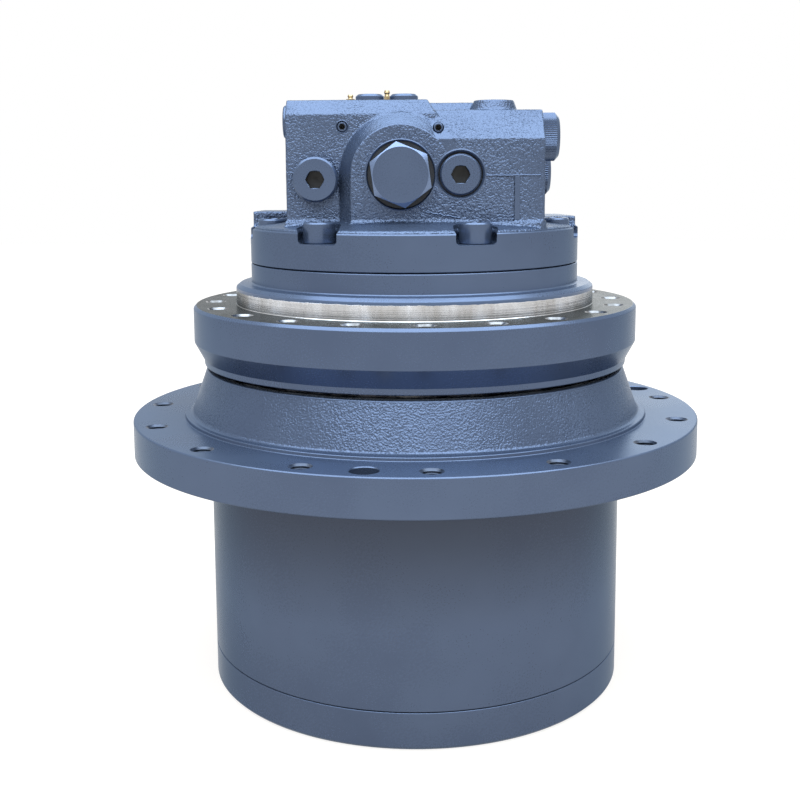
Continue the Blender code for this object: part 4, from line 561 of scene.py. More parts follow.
def socketed(blank, top, flats, depth):
    """Sink a hexagon socket with a drill point and a bevelled mouth; its walls take the second finish."""
    corner = flats / math.sqrt(3.0)
    well = rods(AXIS, corner, -depth, MM, 6, math.radians(30.0))
    point = spun([(0.0, -depth + 0.5 * MM), (0.46 * flats, -depth + 0.5 * MM), (0.0, -depth - 0.22 * flats)], 24)
    bevel = spun([(0.0, MM), (0.55 * flats + MM, MM), (0.48 * flats, -0.065 * flats), (0.0, -0.065 * flats)], 48)
    head = carved(blank, *[placed(tool, (0.0, 0.0, top)) for tool in (well, point, bevel)])
    for face in head.faces:
        middle = face.calc_center_median()
        if middle.xy.length < corner and top - depth - 0.3 * flats < middle.z < top - 0.09 * flats:
            face.material_index = 1
    return head


def socket_head(radius, height, flats, shank_radius, shank, edge=1.2, sides=64, depth=0.0):
    """A socket head screw or plug in millimetres, standing on zero height along +Z."""
    blank = spun(in_metres((0.0, height), (radius - edge, height, 0.25), (radius, height - edge, 0.25),
                           (radius, 0.0, 0.4), (shank_radius, 0.0), (shank_radius, -shank, 1.0), (0.0, -shank)), sides)
    return socketed(blank, height * MM, flats * MM, (depth or 0.65 * height) * MM)


# ---- Hub, end cover and their threads ----


def make_hub(paint, shaded_thread_finish):
    """The hub with its drum, sprocket flange and cone, its tapped holes and its jacking holes."""
    foot = COVER_JOINT + 0.5 * JOINT_GAP
    blank = spun([
        (0.0, LIP), (LIP_EDGE, LIP, 1.2 * MM),
        (CONE_FOOT, BEAD_TOP + 1.2 * MM, 3.0 * MM), (CONE_FOOT + 2.6 * MM, BEAD_TOP, 1.6 * MM),
        (BEAD_EDGE, BEAD_TOP, 0.8 * MM), (BEAD_EDGE + 0.3 * MM, FLANGE_HIGH, 0.7 * MM),
        (FLANGE_EDGE, FLANGE_HIGH, 1.4 * MM), (FLANGE_EDGE, FLANGE_LOW, 1.2 * MM),
        (REGISTER, FLANGE_LOW, 0.8 * MM), (REGISTER, FLANGE_LOW - 6.0 * MM, 0.6 * MM),
        (DRUM, FLANGE_LOW - 7.5 * MM, MM), (DRUM, foot, 0.7 * MM), (0.0, foot)])
    taps = circle_places(SPROCKET_COUNT, SPROCKET_CIRCLE, SPROCKET_START)
    jacks = circle_places(JACK_COUNT, SPROCKET_CIRCLE, SPROCKET_START - 180.0 / SPROCKET_COUNT)
    low, high = FLANGE_LOW - MM, FLANGE_HIGH + MM
    bevel = [(0.0, MM), (JACK_HOLE + 1.7 * MM, MM), (JACK_HOLE - 0.3 * MM, -MM), (0.0, -MM)]
    jack_bevels = together(*[placed(spun(bevel, 64), (x, y, FLANGE_HIGH)) for x, y in jacks])
    hub = carved(blank, rods(taps, HOLE_MOUTH, low, high), rods(jacks, JACK_HOLE, low, high, 64), jack_bevels,
                 cad_cavity("hub", 173.0 * MM, COVER_JOINT - 5.0 * MM, LIP + 5.0 * MM), solver="EXACT")
    piece("hub_casting", hub, paint, "hub", "slate_paint", "hub")
    liners = thread_liners(taps, FLANGE_LOW + 0.1 * MM, FLANGE_HIGH - 0.05 * MM, False)
    piece("sprocket_threads", liners, shaded_thread_finish, "hub", "slate_paint")


def make_end_cover(paint, screw_steel):
    """The end cover that the drive stands on, with its screws and oil plugs underneath."""
    top = COVER_JOINT - 0.5 * JOINT_GAP
    blank = spun([
        *in_metres((0.0, 37.0), (24.0, 37.0, 1.0), (24.0, 20.0, 2.0), (120.7, 20.0, 3.0), (120.7, 35.7, 0.6),
                   (138.7, 35.7, 0.8)),
        (138.7 * MM, top, 0.5 * MM), (DRUM, top, 0.7 * MM), (DRUM, 2.7 * MM, 0.8 * MM),
        (DRUM - 2.7 * MM, 0.0, 0.8 * MM),
        *in_metres((122.0, 0.0, 1.2), (120.0, 6.0, 2.0), (0.0, 6.0))])
    screws = circle_places(COVER_SCREW_COUNT, COVER_SCREW_CIRCLE, 15.0)
    plugs = circle_places(2, OIL_PLUG_CIRCLE, 30.0)
    cover = carved(blank, rods(screws, 12.0 * MM, -MM, 14.0 * MM), rods(plugs, 9.3 * MM, 0.0, 21.0 * MM),
                   rods(screws, 7.2 * MM, 13.0 * MM, 31.0 * MM, 32))
    piece("end_cover_plate", cover, paint, "hub", "slate_paint", "end_cover")
    heads = together(*[placed(socket_head(10.5, 12.0, 12.0, 7.0, 14.0, 0.8, 40), (x, y, 13.8 * MM), -UP)
                       for x, y in screws])
    piece("end_cover_screws", heads, screw_steel, "hub", "slate_paint")
    for number, (x, y) in enumerate(plugs, 1):
        plug = placed(socket_head(13.0, 4.0, 10.0, 9.0, 14.0, 0.8), (x, y, 5.7 * MM), -UP)
        piece("oil_plug_%d_head" % number, plug, screw_steel, "hub", "slate_paint", "oil_plug_%d" % number)


# ---- Spindle ----


def make_spindle(paint, face_steel, shaded_thread_finish):
    """The skirt, frame flange, pilot and motor case, with the pilot and the flange's face left bare."""
    top = CASE_JOINT - 0.5 * JOINT_GAP
    blank = spun([
        (0.0, top), (CASE, top - 0.1 * MM, 1.2 * MM), (CASE, PILOT_TOP + 0.2 * MM, 1.6 * MM),
        (PILOT - 3.6 * MM, PILOT_TOP, MM), (PILOT - 0.2 * MM, PILOT_TOP - 2.6 * MM, 1.2 * MM),
        (PILOT, PILOT_TOP - 4.2 * MM), (PILOT, FRAME_HIGH + 0.5 * MM, 0.1 * MM),
        (PILOT + 0.4 * MM, FRAME_HIGH, 0.1 * MM), (FRAME_EDGE - 2.3 * MM, FRAME_HIGH, 0.4 * MM),
        (FRAME_EDGE, FRAME_HIGH - 2.3 * MM, 1.2 * MM), (FRAME_EDGE, FRAME_LOW, 1.6 * MM),
        (SKIRT_EDGE + 0.6 * MM, SKIRT_BAND, MM), (SKIRT_EDGE, SKIRT_LOW, 0.8 * MM),
        (171.0 * MM, SKIRT_LOW, 0.6 * MM),
        *in_metres((171.0, 282.7), (149.5, 282.7), (149.5, 254.7), (125.0, 254.7), (125.0, 224.4), (113.0, 224.4),
                   (113.0, 220.1), (103.0, 198.2), (95.0, 198.2), (95.0, 165.9), (91.0, 165.6), (91.0, 154.6),
                   (0.0, 154.6))])
    taps = circle_places(FRAME_COUNT, FRAME_CIRCLE, FRAME_START)
    low, high = FRAME_HIGH - FRAME_HOLE_DEPTH, FRAME_HIGH + MM
    spindle = carved(blank, rods(taps, HOLE_MOUTH, low, high),
                     cad_cavity("spindle", 134.0 * MM, 150.0 * MM, 360.0 * MM), solver="EXACT")
    for face in spindle.faces:
        middle = face.calc_center_median()
        if (PILOT - 0.5 * MM < middle.xy.length < FRAME_EDGE - 2.4 * MM
                and FRAME_HIGH - 0.1 * MM < middle.z < PILOT_TOP - 2.7 * MM):
            face.material_index = 1
    piece("spindle_casting", spindle, [paint, face_steel], "spindle", "slate_paint", "spindle")
    liners = thread_liners(taps, low + 0.1 * MM, FRAME_HIGH - 0.05 * MM, True)
    piece("frame_threads", liners, shaded_thread_finish, "spindle", "gear_steel")


# ---- Rear cover with the valve block ----


def pocket(place, out_angle):
    """A tool for a bolt pocket: a round end on the bolt and an open end at the rim, with soft corners."""
    floor = NOTCH_FLOOR
    top, rim, lip = COVER_FACE + 7.0 * MM, COVER_FACE, NOTCH_EDGE + 1.5 * MM
    section = [(0.0, floor), (NOTCH_EDGE, floor, 3.2 * MM), (NOTCH_EDGE, rim - 1.8 * MM, 1.8 * MM),
               (lip, rim + 0.3 * MM, 0.6 * MM), (lip, top), (0.0, top)]
    shape = bmesh.new()
    corners = [shape.verts.new((radius, 0.0, height)) for radius, height in rounded(section, False)]
    edges = [shape.edges.new(pair) for pair in zip(corners, corners[1:])]
    swept = bmesh.ops.spin(shape, geom=corners + edges, cent=(0.0, 0.0, 0.0), axis=UP, angle=math.pi, steps=24)
    last = [part for part in swept["geom_last"] if isinstance(part, bmesh.types.BMEdge)]
    for ends in (edges, last):
        move_grown(shape, bmesh.ops.extrude_edge_only(shape, edges=ends), (0.0, -46.0 * MM, 0.0))
    bmesh.ops.remove_doubles(shape, verts=shape.verts, dist=MERGE)
    bmesh.ops.holes_fill(shape, edges=[edge for edge in shape.edges if len(edge.link_faces) == 1], sides=0)
    bmesh.ops.recalc_face_normals(shape, faces=shape.faces)
    return placed(shape, (*place, 0.0), UP, math.radians(out_angle))


def pockets(places):
    """The tools for all bolt pockets."""
    return [pocket(place, angle) for place, angle in zip(places, NOTCH_ANGLES)]


def leaned(block):
    """Slope the right end of the left block, so that it widens downwards into the right one."""
    for corner in block.verts:
        if corner.co.x > 0.0:
            corner.co.x += BLOCK_LEAN * (BLOCK_LEFT_TOP - corner.co.z)
    return block


def foot_steps(low, top, reach):
    """The block's outlines grown by a reach, which step out where the block meets the cover."""
    left, right, front, waist = BLOCK_LEFT - reach, BLOCK_RIGHT + reach, BLOCK_FRONT - reach, BLOCK_WAIST + reach
    half = BACK_HALF_WIDTH + reach
    for foot in (slab((left, RECESS_FRONT - reach, low), (0.0, waist, top)),
                 slab((ARCH_LEFT - reach, front, low), (right, waist, top)),
                 slab((-half, 0.0, low), (half, BLOCK_BACK + reach, top))):
        within = rods(AXIS, CASTING_EDGE - 0.6 * MM, low - MM, top + MM, 160)
        yield carved(foot, within, operation="INTERSECT")


def rim_pad(low, side, near, far, rise):
    """A pad on the cover's left or right rim."""
    left, right = sorted((side * 95.0 * MM, side * 139.0 * MM))
    return carved(rods(AXIS, CASTING_EDGE, low, COVER_FACE + rise, 160),
                  slab((left, near, low - MM), (right, far, COVER_FACE + 20.0 * MM)), operation="INTERSECT")


def cast_block():
    """The block, arch, land, bosses and foot as overlapping solids, before they are blended."""
    low, face = CASTING_ROOT, COVER_FACE
    recess, front, waist, back = RECESS_FRONT, BLOCK_FRONT, BLOCK_WAIST, BLOCK_BACK
    crown = spun([(0.0, face + CROWN), (CROWN_EDGE, face + CROWN), (134.0 * MM, face + 0.6 * MM),
                  (CASTING_EDGE, face - 0.8 * MM), (CASTING_EDGE, low), (0.0, low)], 160)
    left_block = leaned(across(BLOCK_LEFT, 11.0 * MM, [
        (recess, low), (recess, BLOCK_LEFT_TOP - LEFT_BEVEL), (recess + LEFT_BEVEL, BLOCK_LEFT_TOP),
        (waist, BLOCK_LEFT_TOP), (waist, low)]))
    right_block = across(SPOOL_X, BLOCK_RIGHT, [
        (front, low), (front, BLOCK_RIGHT_TOP - RIGHT_BEVEL), (front + RIGHT_BEVEL, BLOCK_RIGHT_TOP),
        (waist, BLOCK_RIGHT_TOP), (waist, low)])
    back_block = across(-BACK_HALF_WIDTH, BACK_HALF_WIDTH, [
        (0.0, low), (0.0, BACK_TOP), (back - SMALL_BEVEL, BACK_TOP), (back, BACK_TOP - SMALL_BEVEL), (back, low)])
    ridge = across(10.0 * MM, 48.0 * MM, [
        (-50.0 * MM, low), (-50.0 * MM, RIDGE_TOP - SMALL_BEVEL), (SMALL_BEVEL - 50.0 * MM, RIDGE_TOP),
        (waist - MM, RIDGE_TOP), (waist - MM, low)])
    arch = placed(spun([(0.0, -front), (ARCH_FACE_EDGE, -front), (ARCH_EDGE, -recess), (ARCH_EDGE, 60.0 * MM),
                        (0.0, 60.0 * MM)], 96), (SPOOL_X, 0.0, SPOOL_Z), FRONT)
    top_boss = placed(spun(in_metres((0.0, 8.0), (15.8, 8.0), (19.7, -3.0), (0.0, -3.0)), 64),
                      (64.0 * MM, -50.0 * MM, BLOCK_RIGHT_TOP))
    arch_land = extruded([(ARCH_FOOT, recess, low), (ARCH_LEFT, front, low), (0.0, front, low),
                          (0.0, -60.0 * MM, low), (ARCH_FOOT, -60.0 * MM, low)], (0.0, 0.0, SPOOL_Z - low))
    return together(
        crown, left_block, right_block, back_block, ridge, arch, top_boss, arch_land,
        *foot_steps(low, face + CROWN + 0.3 * MM, 1.8 * MM), *foot_steps(low, face + CROWN + 1.3 * MM, 0.7 * MM),
        rim_pad(low, -1.0, -5.0 * MM, 35.0 * MM, 11.0 * MM), rim_pad(low, 1.0, -10.0 * MM, 50.0 * MM, 6.0 * MM))


def blended(shape):
    """Blend overlapping solids into one casting with soft edges and a slightly uneven skin."""
    thing = as_object(shape, "pattern")
    remesh = thing.modifiers.new("blend", "REMESH")
    remesh.mode, remesh.voxel_size, remesh.adaptivity = "VOXEL", VOXEL, 0.0
    casting = as_shape(thing)
    for _ in range(2):
        bmesh.ops.smooth_vert(casting, verts=casting.verts, factor=0.5, use_axis_x=True, use_axis_y=True,
                              use_axis_z=True)
    casting.normal_update()
    for vert in casting.verts:
        lump = sum(noise.noise(vert.co * scale) * size for scale, size in SKIN_LUMPS)
        vert.co += vert.normal * lump * MM
    thing = as_object(casting, "casting")
    thin = thing.modifiers.new("thin_out", "DECIMATE")
    thin.ratio = CASTING_SHARE
    return as_shape(thing)


def bored(place, direction, *steps):
    """A tool for a stepped bore, from its mouth inwards: (radius, depth) pairs in millimetres."""
    start = 7.0
    section = [(0.0, start)]
    for radius, depth in steps:
        section += [(radius, start), (radius, -depth)]
        start = -depth
    return placed(spun(in_metres(*section, (0.0, start)), 64), place, direction)


def block_bores():
    """The bores for the block's plugs, caps and screws, and its two main ports."""
    return [
        bored((SPOOL_X, BLOCK_FRONT, SPOOL_Z), FRONT, (26.9, 2.4), (18.3, 22.3), (12.5, 129.0)),
        bored((RIGHT_PLUG_X, BLOCK_FRONT, SPOOL_Z), FRONT, (18.9, 5.4), (11.3, 25.3)),
        bored((LEFT_PLUG_X, RECESS_FRONT, LEFT_PLUG_Z), FRONT, (14.3, 0.5), (11.3, 20.8)),
        bored(SIDE_PLUG, LEFT, (8.3, 14.3)),
        *[bored((BLOCK_RIGHT, y, z), RIGHT, (12.3, 26.3)) for y, z in RELIEF_CAPS],
        *[bored(place, FRONT, (4.4, 13.0)) for place in ORIFICES],
        *[bored((x, y, BLOCK_LEFT_TOP), UP, (8.3, 14.3)) for x, y in PORT_CAPS],
        *[bored((x, y, BLOCK_LEFT_TOP), UP, (2.8, 8.3)) for x, y, _ in BLEED_SCREWS],
        *[bored((x, BLOCK_BACK, MAIN_PORT_Z), BACK, (27.0, 1.5), (14.0, 34.0)) for x in MAIN_PORTS],
    ]


def make_rear_cover(paint, cast_paint):
    """The rear cover's turned flange and, on it, the valve block's casting."""
    places = [circle_places(1, BOLT_CIRCLE, angle)[0] for angle in BOLT_ANGLES]
    holes = rods(places, 8.4 * MM, 350.0 * MM, NOTCH_FLOOR + MM, 32)
    low, seat, inner = CASE_JOINT + 0.5 * JOINT_GAP, COVER_EDGE - 2.0 * MM, CASTING_EDGE - 1.2 * MM
    flange = spun([
        (0.0, seat), (inner, seat), (inner, COVER_EDGE), (CASE, COVER_EDGE, 1.5 * MM), (CASE, low, 0.7 * MM),
        (103.7 * MM, low, 0.4 * MM),
        *in_metres((103.7, 349.5, 1.0), (13.8, 349.5), (13.8, 367.5), (0.0, 367.5))])
    piece("rear_cover_flange", carved(flange, *pockets(places), holes), paint, "spindle", "slate_paint", "rear_cover")

    front, far = BLOCK_FRONT - 0.3 * MM, BLOCK_FRONT - 3.0 * MM
    core_print = extruded([(50.0 * MM, front, 390.5 * MM), (77.6 * MM, front + 1.2 * MM, 390.5 * MM),
                           (77.6 * MM, far, 390.5 * MM), (50.0 * MM, far, 390.5 * MM)], (0.0, 0.0, 34.9 * MM))
    casting = carved(blended(cast_block()), *pockets(places), *block_bores(), core_print)
    piece("valve_block_casting", casting, cast_paint, "spindle", "slate_paint", "rear_cover", crease=50.0)


# ---- Caps, plugs and bolts ----


def shaded(shape, height):
    """Give the faces below this height the second finish."""
    for face in shape.faces:
        if face.calc_center_median().z < height:
            face.material_index = 1
    return shape


def with_shank(head, radius, reach, sides):
    """Join a round shank, in millimetres, under a head."""
    shank = spun(in_metres((0.0, 1.0), (radius, 1.0), (radius, -reach, 1.0), (0.0, -reach)), sides)
    return carved(head, shank, operation="UNION")


def make_spool_cap(paint, shade, highlight_paint):
    """The big hexagon cap, its chamfer lightened as a painted highlight, in a spotface darkened as painted shade."""
    head = rods(AXIS, CAP_FLATS / math.sqrt(3.0), 0.0, 15.0 * MM, 6, CAP_TURN)
    crown = spun(in_metres((0.0, 15.0), (21.2, 15.0, 0.3), (27.0, 11.8), (27.0, -1.0), (0.0, -1.0)), 96)
    cap = with_shank(carved(head, crown, operation="INTERSECT"), 18.0, 20.0, 64)
    # The chamfer takes the lighter paint: a painted highlight
    for face in cap.faces:
        if 0.5 < face.normal.z < 0.97 and face.calc_center_median().z > 11.0 * MM:
            face.material_index = 1
    cap = placed(cap, (SPOOL_X, BLOCK_FRONT + 1.7 * MM, SPOOL_Z), FRONT)
    piece("spool_cap_hexagon", cap, [paint, highlight_paint], "spindle", "slate_paint", "spool_cap", crease=20.0)
    spotface = spun(in_metres((18.4, -2.0), (26.0, -2.0, 0.4), (26.0, -0.5), (26.8, 0.25, 0.2), (27.6, 0.0),
                              (27.6, -2.9), (18.4, -2.9)), 160, closed=True)
    spotface = placed(shaded(spotface, -0.45 * MM), (SPOOL_X, BLOCK_FRONT, SPOOL_Z), FRONT)
    piece("spool_cap_spotface", spotface, [paint, shade], "spindle", "slate_paint")


def make_socket_plugs(paint, shade):
    """The two big socket plugs: the right one sunk in its seat, the left one standing proud."""
    right = socket_head(16.0, 5.5, PLUG_FLATS, 11.0, 19.7, 1.3, 96, 9.0)
    right = placed(right, (RIGHT_PLUG_X, BLOCK_FRONT + 4.7 * MM, SPOOL_Z), FRONT)
    piece("right_plug_head", right, paint, "spindle", "slate_paint", "right_plug")
    left = socket_head(17.6, 9.0, PLUG_FLATS, 11.0, 19.7, 1.5, 96, 9.0)
    left = placed(left, (LEFT_PLUG_X, RECESS_FRONT - 0.3 * MM, LEFT_PLUG_Z), FRONT)
    piece("left_plug_head", left, paint, "spindle", "slate_paint", "left_plug")
    seat = spun(in_metres((15.9, -5.0), (17.1, -5.0, 0.2), (17.1, -1.4), (18.7, 0.3, 0.2), (19.8, 0.0),
                          (19.8, -5.9), (15.9, -5.9)), 128, closed=True)
    seat = placed(shaded(seat, -1.5 * MM), (RIGHT_PLUG_X, BLOCK_FRONT, SPOOL_Z), FRONT)
    piece("right_plug_seat", seat, [paint[0], shade], "spindle", "slate_paint")


def make_orifice_plugs(paint):
    """The two small sunk screws, and the raised rim round the left one."""
    for number, (x, y, z) in enumerate(ORIFICES, 1):
        blank = spun(in_metres((0.0, 0.0), (3.7, 0.0, 0.7), (4.1, -2.0), (4.1, -10.0), (0.0, -10.0)), 40)
        plug = placed(socketed(blank, 0.0, 4.5 * MM, 6.0 * MM), (x, y + 0.6 * MM, z), FRONT)
        piece("orifice_screw_%d" % number, plug, paint, "spindle", "gear_steel", "orifice_plug_%d" % number)
    rim = spun(in_metres((4.2, -3.0), (4.2, -0.4), (4.7, 0.35, 0.15), (5.2, -0.1), (5.2, -3.0)), 48, closed=True)
    piece("orifice_rim", placed(rim, ORIFICES[0], FRONT), paint, "spindle", "slate_paint")


def knurled(radius, low, high, teeth):
    """A short cylinder with straight knurling, along +Z."""
    shape = bmesh.new()
    rim = bmesh.ops.create_circle(shape, cap_ends=True, segments=2 * teeth, radius=radius)["verts"]
    for vert in rim[::2]:
        vert.co *= 1.0 - 0.55 * MM / radius
    move_grown(shape, bmesh.ops.extrude_face_region(shape, geom=shape.faces[:]), (0.0, 0.0, high - low))
    bmesh.ops.translate(shape, verts=shape.verts, vec=(0.0, 0.0, low))
    return welded(shape)


def make_relief_caps(paint):
    """The two knurled caps on the right side."""
    for number, (y, z) in enumerate(RELIEF_CAPS, 1):
        envelope = spun(in_metres((0.0, 13.5), (15.6, 13.5, 0.8), (19.1, 10.3), (19.1, 0.0), (0.0, 0.0)), 96)
        head = carved(knurled(19.0 * MM, -MM, 14.5 * MM, 72), envelope, operation="INTERSECT")
        head = socketed(with_shank(head, 12.0, 26.0, 48), 13.5 * MM, 10.0 * MM, 7.0 * MM)
        piece("relief_cap_%d" % number, placed(head, (BLOCK_RIGHT + 0.3 * MM, y, z), RIGHT), paint, "spindle",
              "slate_paint", "relief_valve_%d" % number, crease=18.0)


def make_side_plug(paint):
    """The plug on the left side."""
    side = placed(socket_head(13.2, 4.3, 8.0, 8.0, 13.7, 1.0), (BLOCK_LEFT - 0.3 * MM, *SIDE_PLUG[1:]), LEFT)
    piece("side_plug_head", side, paint, "spindle", "slate_paint", "side_plug")


def make_port_caps(paint, zinc):
    """The two round caps on the block's top, each on its washer."""
    for number, (x, y) in enumerate(PORT_CAPS, 1):
        washer = spun(in_metres((8.4, 1.0, 0.2), (12.6, 1.0, 0.3), (12.6, 0.0, 0.3), (8.4, 0.0, 0.2)), 96, closed=True)
        washer = placed(washer, (x, y, BLOCK_LEFT_TOP + 0.3 * MM))
        piece("port_seal_washer_%d" % number, washer, zinc, "spindle", "yellow_zinc", "port_washer_%d" % number)
        blank = spun(in_metres((0.0, 5.0), (9.6, 5.0, 0.5), (11.7, 3.2, 0.4), (11.7, 0.0, 0.4), (8.0, 0.0),
                               (8.0, -14.0, 1.0), (0.0, -14.0)), 96)
        cap = placed(socketed(blank, 5.0 * MM, 8.0 * MM, 5.0 * MM), (x, y, BLOCK_LEFT_TOP + 1.6 * MM))
        piece("port_cap_%d_head" % number, cap, paint, "spindle", "slate_paint", "port_cap_%d" % number)


def make_bleed_screws(zinc):
    """The two yellow bleed screws behind the port caps: a hexagon with a waisted nipple."""
    for number, (x, y, rise) in enumerate(BLEED_SCREWS, 1):
        hexagon = rods(AXIS, 4.15 * MM, 0.0, 0.55 * rise, 6)
        nipple = spun([(0.0, rise), (2.0 * MM, rise, 0.4 * MM), (2.6 * MM, 0.82 * rise, 0.3 * MM),
                       (1.9 * MM, 0.7 * rise, 0.3 * MM), (2.4 * MM, 0.5 * rise), (2.4 * MM, -7.7 * MM),
                       (0.0, -7.7 * MM)], 32)
        screw = placed(carved(hexagon, nipple, operation="UNION"), (x, y, BLOCK_LEFT_TOP + 0.3 * MM))
        piece("bleed_nipple_%d" % number, screw, zinc, "spindle", "yellow_zinc", "bleed_screw_%d" % number,
              crease=25.0)


def make_cover_bolts(paint):
    """The eight socket head bolts in the cover's pockets."""
    for number, angle in enumerate(BOLT_ANGLES, 1):
        place = (*circle_places(1, BOLT_CIRCLE, angle)[0], BOLT_SEAT)
        bolt = placed(socket_head(12.4, 16.0, 14.0, 8.0, 38.0, 1.3), place)
        piece("cover_bolt_%d_head" % number, bolt, paint, "spindle", "slate_paint", "cover_bolt_%d" % number)


def flash_line(name, points, thickness, paint):
    """A thin raised line that the mould left on the casting, along these points."""
    curve = bpy.data.curves.new(name, "CURVE")
    curve.dimensions = "3D"
    curve.bevel_depth, curve.bevel_resolution, curve.use_fill_caps = thickness, 2, True
    spline = curve.splines.new("POLY")
    spline.points.add(len(points) - 1)
    for point, place in zip(spline.points, points):
        point.co = (*place, 1.0)
    piece(name, as_shape(linked(name, curve)), paint, "spindle", "slate_paint")


def make_casting_marks(paint):
    """The mould's parting line, a core print beside it and a crack of flash over the foot."""
    face = BLOCK_FRONT - 0.35 * MM
    right = [((55.6 + 2.0 * step) * MM, face, 425.9 * MM + 0.5 * MM * noise.noise((0.8 * step, 0.0, 0.3)))
             for step in range(22)]
    left = [(-49.5 * MM, RECESS_FRONT - 11.0 * MM, 428.0 * MM), (-46.0 * MM, face, 428.1 * MM),
            (-41.5 * MM, face, 427.9 * MM)]
    foot = [((9.0 + 1.4 * step) * MM, face, 398.2 * MM - 0.25 * step * MM
             + 1.3 * MM * noise.noise((0.55 * step, 2.0, 0.0))) for step in range(20)]
    flash_line("parting_line_right", right, 0.6 * MM, paint)
    flash_line("parting_line_left", left, 0.4 * MM, paint)
    flash_line("foot_flash", foot, 0.6 * MM, paint)
    strip = slab((77.6 * MM, BLOCK_FRONT - 0.6 * MM, 391.6 * MM), (81.8 * MM, BLOCK_FRONT + MM, 425.4 * MM))
    bmesh.ops.bevel(strip, geom=strip.edges[:], offset=0.45 * MM, segments=2, affect="EDGES", profile=0.5,
                    material=-1)
    piece("core_print_strip", strip, paint, "spindle", "slate_paint")


# ---- Disc spring of the brake, built in one shape; the real one flattens as the brake opens ----


def make_disc_spring(steel):
    """A cone of plate between the brake's piston and the cover."""
    low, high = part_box("disc_spring")
    outer, foot, top = high[0], low[2], high[2]
    section = [(SPRING_INNER + SPRING_THICKNESS, top, 0.3 * MM), (outer, foot + SPRING_THICKNESS, 0.3 * MM),
               (outer, foot, 0.3 * MM), (SPRING_INNER, top - SPRING_THICKNESS, 0.3 * MM)]
    spring = piece("brake_disc_spring", spun(section, 128, closed=True), steel, "spindle", "gear_steel",
                   "disc_spring")
    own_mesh(spring)


# ---- Finishes of the CAD nodes that show as they are ----


def dress_inner_parts(finishes):
    """Give each carried-over node its finish."""
    groups = {
        "gear_steel": ("planet_", "sun_2", "carrier_", "drive_shaft", "bearing_nut", "brake_piston",
                       "disc_spring", "swash_plate", "counterbalance_spool"),
        "bearing_steel": ("lower_bearing", "upper_bearing", "shaft_bearing", "hub_seal", "spindle_seal"),
        "bronze": ("piston_set", "valve_plate", "friction_disc"),
        "cast_iron": ("cylinder_block",),
        "black_rubber": ("hub_toric", "spindle_toric", "shaft_seal"),
    }
    for name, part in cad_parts.items():
        for slot, starts in groups.items():
            if name.startswith(starts):
                part.data.materials.clear()
                part.data.materials.append(finishes[slot])


# ---- Stage ----


def seen_directly(tree):
    """1 for the rays that see a surface or the background, and 0 for those that light the part."""
    path = node(tree, "LightPath").outputs
    return calc(tree, "MAXIMUM", path["Is Glossy Ray"], path["Is Transmission Ray"], path["Is Camera Ray"])


def make_floor():
    """A pale floor that meets the white background and keeps the shadow near the drum."""
    shape = bmesh.new()
    bmesh.ops.create_grid(shape, x_segments=1, y_segments=1, size=FLOOR_SIZE)
    bmesh.ops.translate(shape, verts=shape.verts, vec=(0.0, 0.0, -0.2 * MM))
    floor = as_object(shape, "floor")
    paper, tree, shader, _, _, reach = start_finish("pale_floor", Roughness=0.9, Specular_IOR_Level=0.0)
    shader.inputs["Base Color"].default_value = (0.27, 0.225, 0.185, 1.0)
    lift = product(tree, stepped(tree, reach, 0.3, 1.2, 0.8, 1.0), seen_directly(tree))
    glow = node(tree, "Emission", {"Strength": lift})
    both = node(tree, "AddShader", {0: shader.outputs[0], 1: glow.outputs[0]})
    tree.links.new(both.outputs[0], tree.nodes["Material Output"].inputs["Surface"])
    floor.data.materials.append(paper)


def make_world():
    """Even, slightly cool studio light; the background shows white."""
    world = bpy.data.worlds.new("studio")
    bpy.context.scene.world = world
    world.use_nodes = True
    tree = world.node_tree
    lit = node(tree, "Background", {"Color": (0.88, 0.94, 1.0, 1.0), "Strength": WORLD_LIGHT})
    white = node(tree, "Background", {"Color": (1.0, 1.0, 1.0, 1.0), "Strength": 1.0})
    mix = node(tree, "MixShader", {0: seen_directly(tree), 1: lit.outputs[0], 2: white.outputs[0]})
    tree.links.new(mix.outputs[0], tree.nodes["World Output"].inputs["Surface"])


def make_lamp(name, location, size, watts, colour):
    """A round, soft panel that faces the middle of the part."""
    data = bpy.data.lights.new(name, "AREA")
    data.shape, data.size, data.energy, data.color = "DISK", size, watts, colour
    lamp = linked(name, data)
    lamp.location = location
    lamp.rotation_mode = "QUATERNION"
    lamp.rotation_quaternion = (Vector(LAMP_AIM) - Vector(location)).to_track_quat("-Z", "Y")


def make_camera():
    """The photograph's viewpoint: a little above the frame flange, tilted down and shifted."""
    pitch, yaw, roll = math.radians(7.8845), math.radians(-0.7160), math.radians(-0.3351)
    ahead = Vector((math.sin(yaw) * math.cos(pitch), math.cos(yaw) * math.cos(pitch), -math.sin(pitch)))
    side = Vector((math.cos(yaw), -math.sin(yaw), 0.0))
    rise = side.cross(ahead)
    right = side * math.cos(roll) + rise * math.sin(roll)
    top = rise * math.cos(roll) - side * math.sin(roll)
    data = bpy.data.cameras.new("camera")
    data.sensor_width = SENSOR
    data.lens = FOCAL_LENGTH / PICTURE * SENSOR
    data.shift_y = (HORIZON_ROW - 0.5 * PICTURE) / PICTURE
    camera = linked("camera", data)
    turn = Matrix((right, top, -ahead)).transposed().to_4x4()
    camera.matrix_world = Matrix.Translation((0.0, -0.98830, 0.42908)) @ turn
    bpy.context.scene.camera = camera


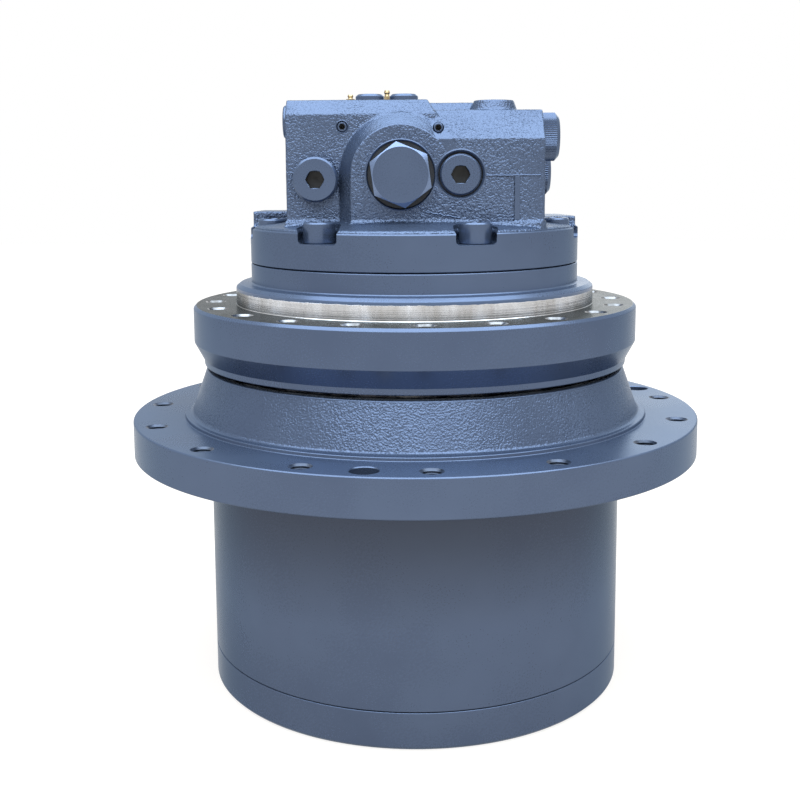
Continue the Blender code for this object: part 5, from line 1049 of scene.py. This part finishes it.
def dress():
    """Make the finishes, then each piece with its own."""
    turned_paint = slate_paint("slate_paint_turned")
    hub_paint = slate_paint("slate_paint_hub", cast=0.8, cast_zone=(BEAD_TOP + 1.0 * MM, LIP - 1.4 * MM, 0.19),
                            shade_layer=(100.0 * MM, FLANGE_LOW))
    cast_paint = slate_paint("slate_paint_cast", cast=1.0)
    face_steel = bare_steel("turned_face_steel")
    # Both thread finishes are darker than the steel or paint round them: painted shade in the tapped holes
    shaded_thread_finish = metal("shaded_thread_finish", (0.12, 0.12, 0.12), (0.30, 0.31, 0.33), 0.26, 90.0)
    thread_shade = metal("painted_thread_shade", (0.035, 0.045, 0.065), (0.075, 0.095, 0.14), 0.34, 90.0, 0.7)
    recess_shade = metal("recess_shade", (0.018, 0.020, 0.023), (0.035, 0.040, 0.048), 0.4, 90.0, 0.3)
    socket_shade = metal("socket_shade", (0.005, 0.006, 0.007), (0.016, 0.017, 0.018), 0.5, 200.0, 0.0)
    finishes = {
        "gear_steel": metal("ground_gear_steel", (0.26, 0.26, 0.27), (0.46, 0.46, 0.47), 0.32),
        "bearing_steel": metal("polished_bearing_steel", (0.48, 0.48, 0.50), (0.66, 0.66, 0.67), 0.18, 40.0,
                               bump=0.01),
        "bronze": metal("sintered_bronze", (0.34, 0.20, 0.08), (0.58, 0.38, 0.17), 0.38, 80.0),
        "cast_iron": metal("machined_cast_iron", (0.10, 0.10, 0.105), (0.22, 0.22, 0.23), 0.5, 120.0, bump=0.1),
        "black_rubber": metal("seal_rubber", (0.012, 0.012, 0.012), (0.03, 0.03, 0.03), 0.62, 90.0, 0.0, 0.08),
    }
    zinc = metal("yellow_zinc_plate", (0.28, 0.20, 0.10), (0.54, 0.44, 0.27), 0.28, 150.0)
    socket_paint = [turned_paint, socket_shade]
    make_hub(hub_paint, thread_shade)
    make_end_cover(turned_paint, socket_paint)
    make_spindle(turned_paint, face_steel, shaded_thread_finish)
    make_rear_cover(turned_paint, cast_paint)
    make_casting_marks(turned_paint)
    make_spool_cap(turned_paint, recess_shade, slate_paint("slate_paint_painted_highlight", highlight_tone=1.7))
    make_socket_plugs(socket_paint, recess_shade)
    make_orifice_plugs(socket_paint)
    make_relief_caps(socket_paint)
    make_side_plug(socket_paint)
    make_port_caps(socket_paint, zinc)
    make_bleed_screws(zinc)
    make_cover_bolts(socket_paint)
    make_disc_spring(finishes["gear_steel"])
    dress_inner_parts(finishes)


dress()
make_floor()
make_world()
make_lamp("sky_panel", (0.0, -0.5, 2.05), 4.0, 175.0, (0.78, 0.89, 1.0))
make_lamp("back_panel", (0.7, 2.2, 1.1), 1.4, 6.0, (1.0, 0.99, 0.97))
make_camera()

bpy.context.scene.view_settings.view_transform = "Standard"
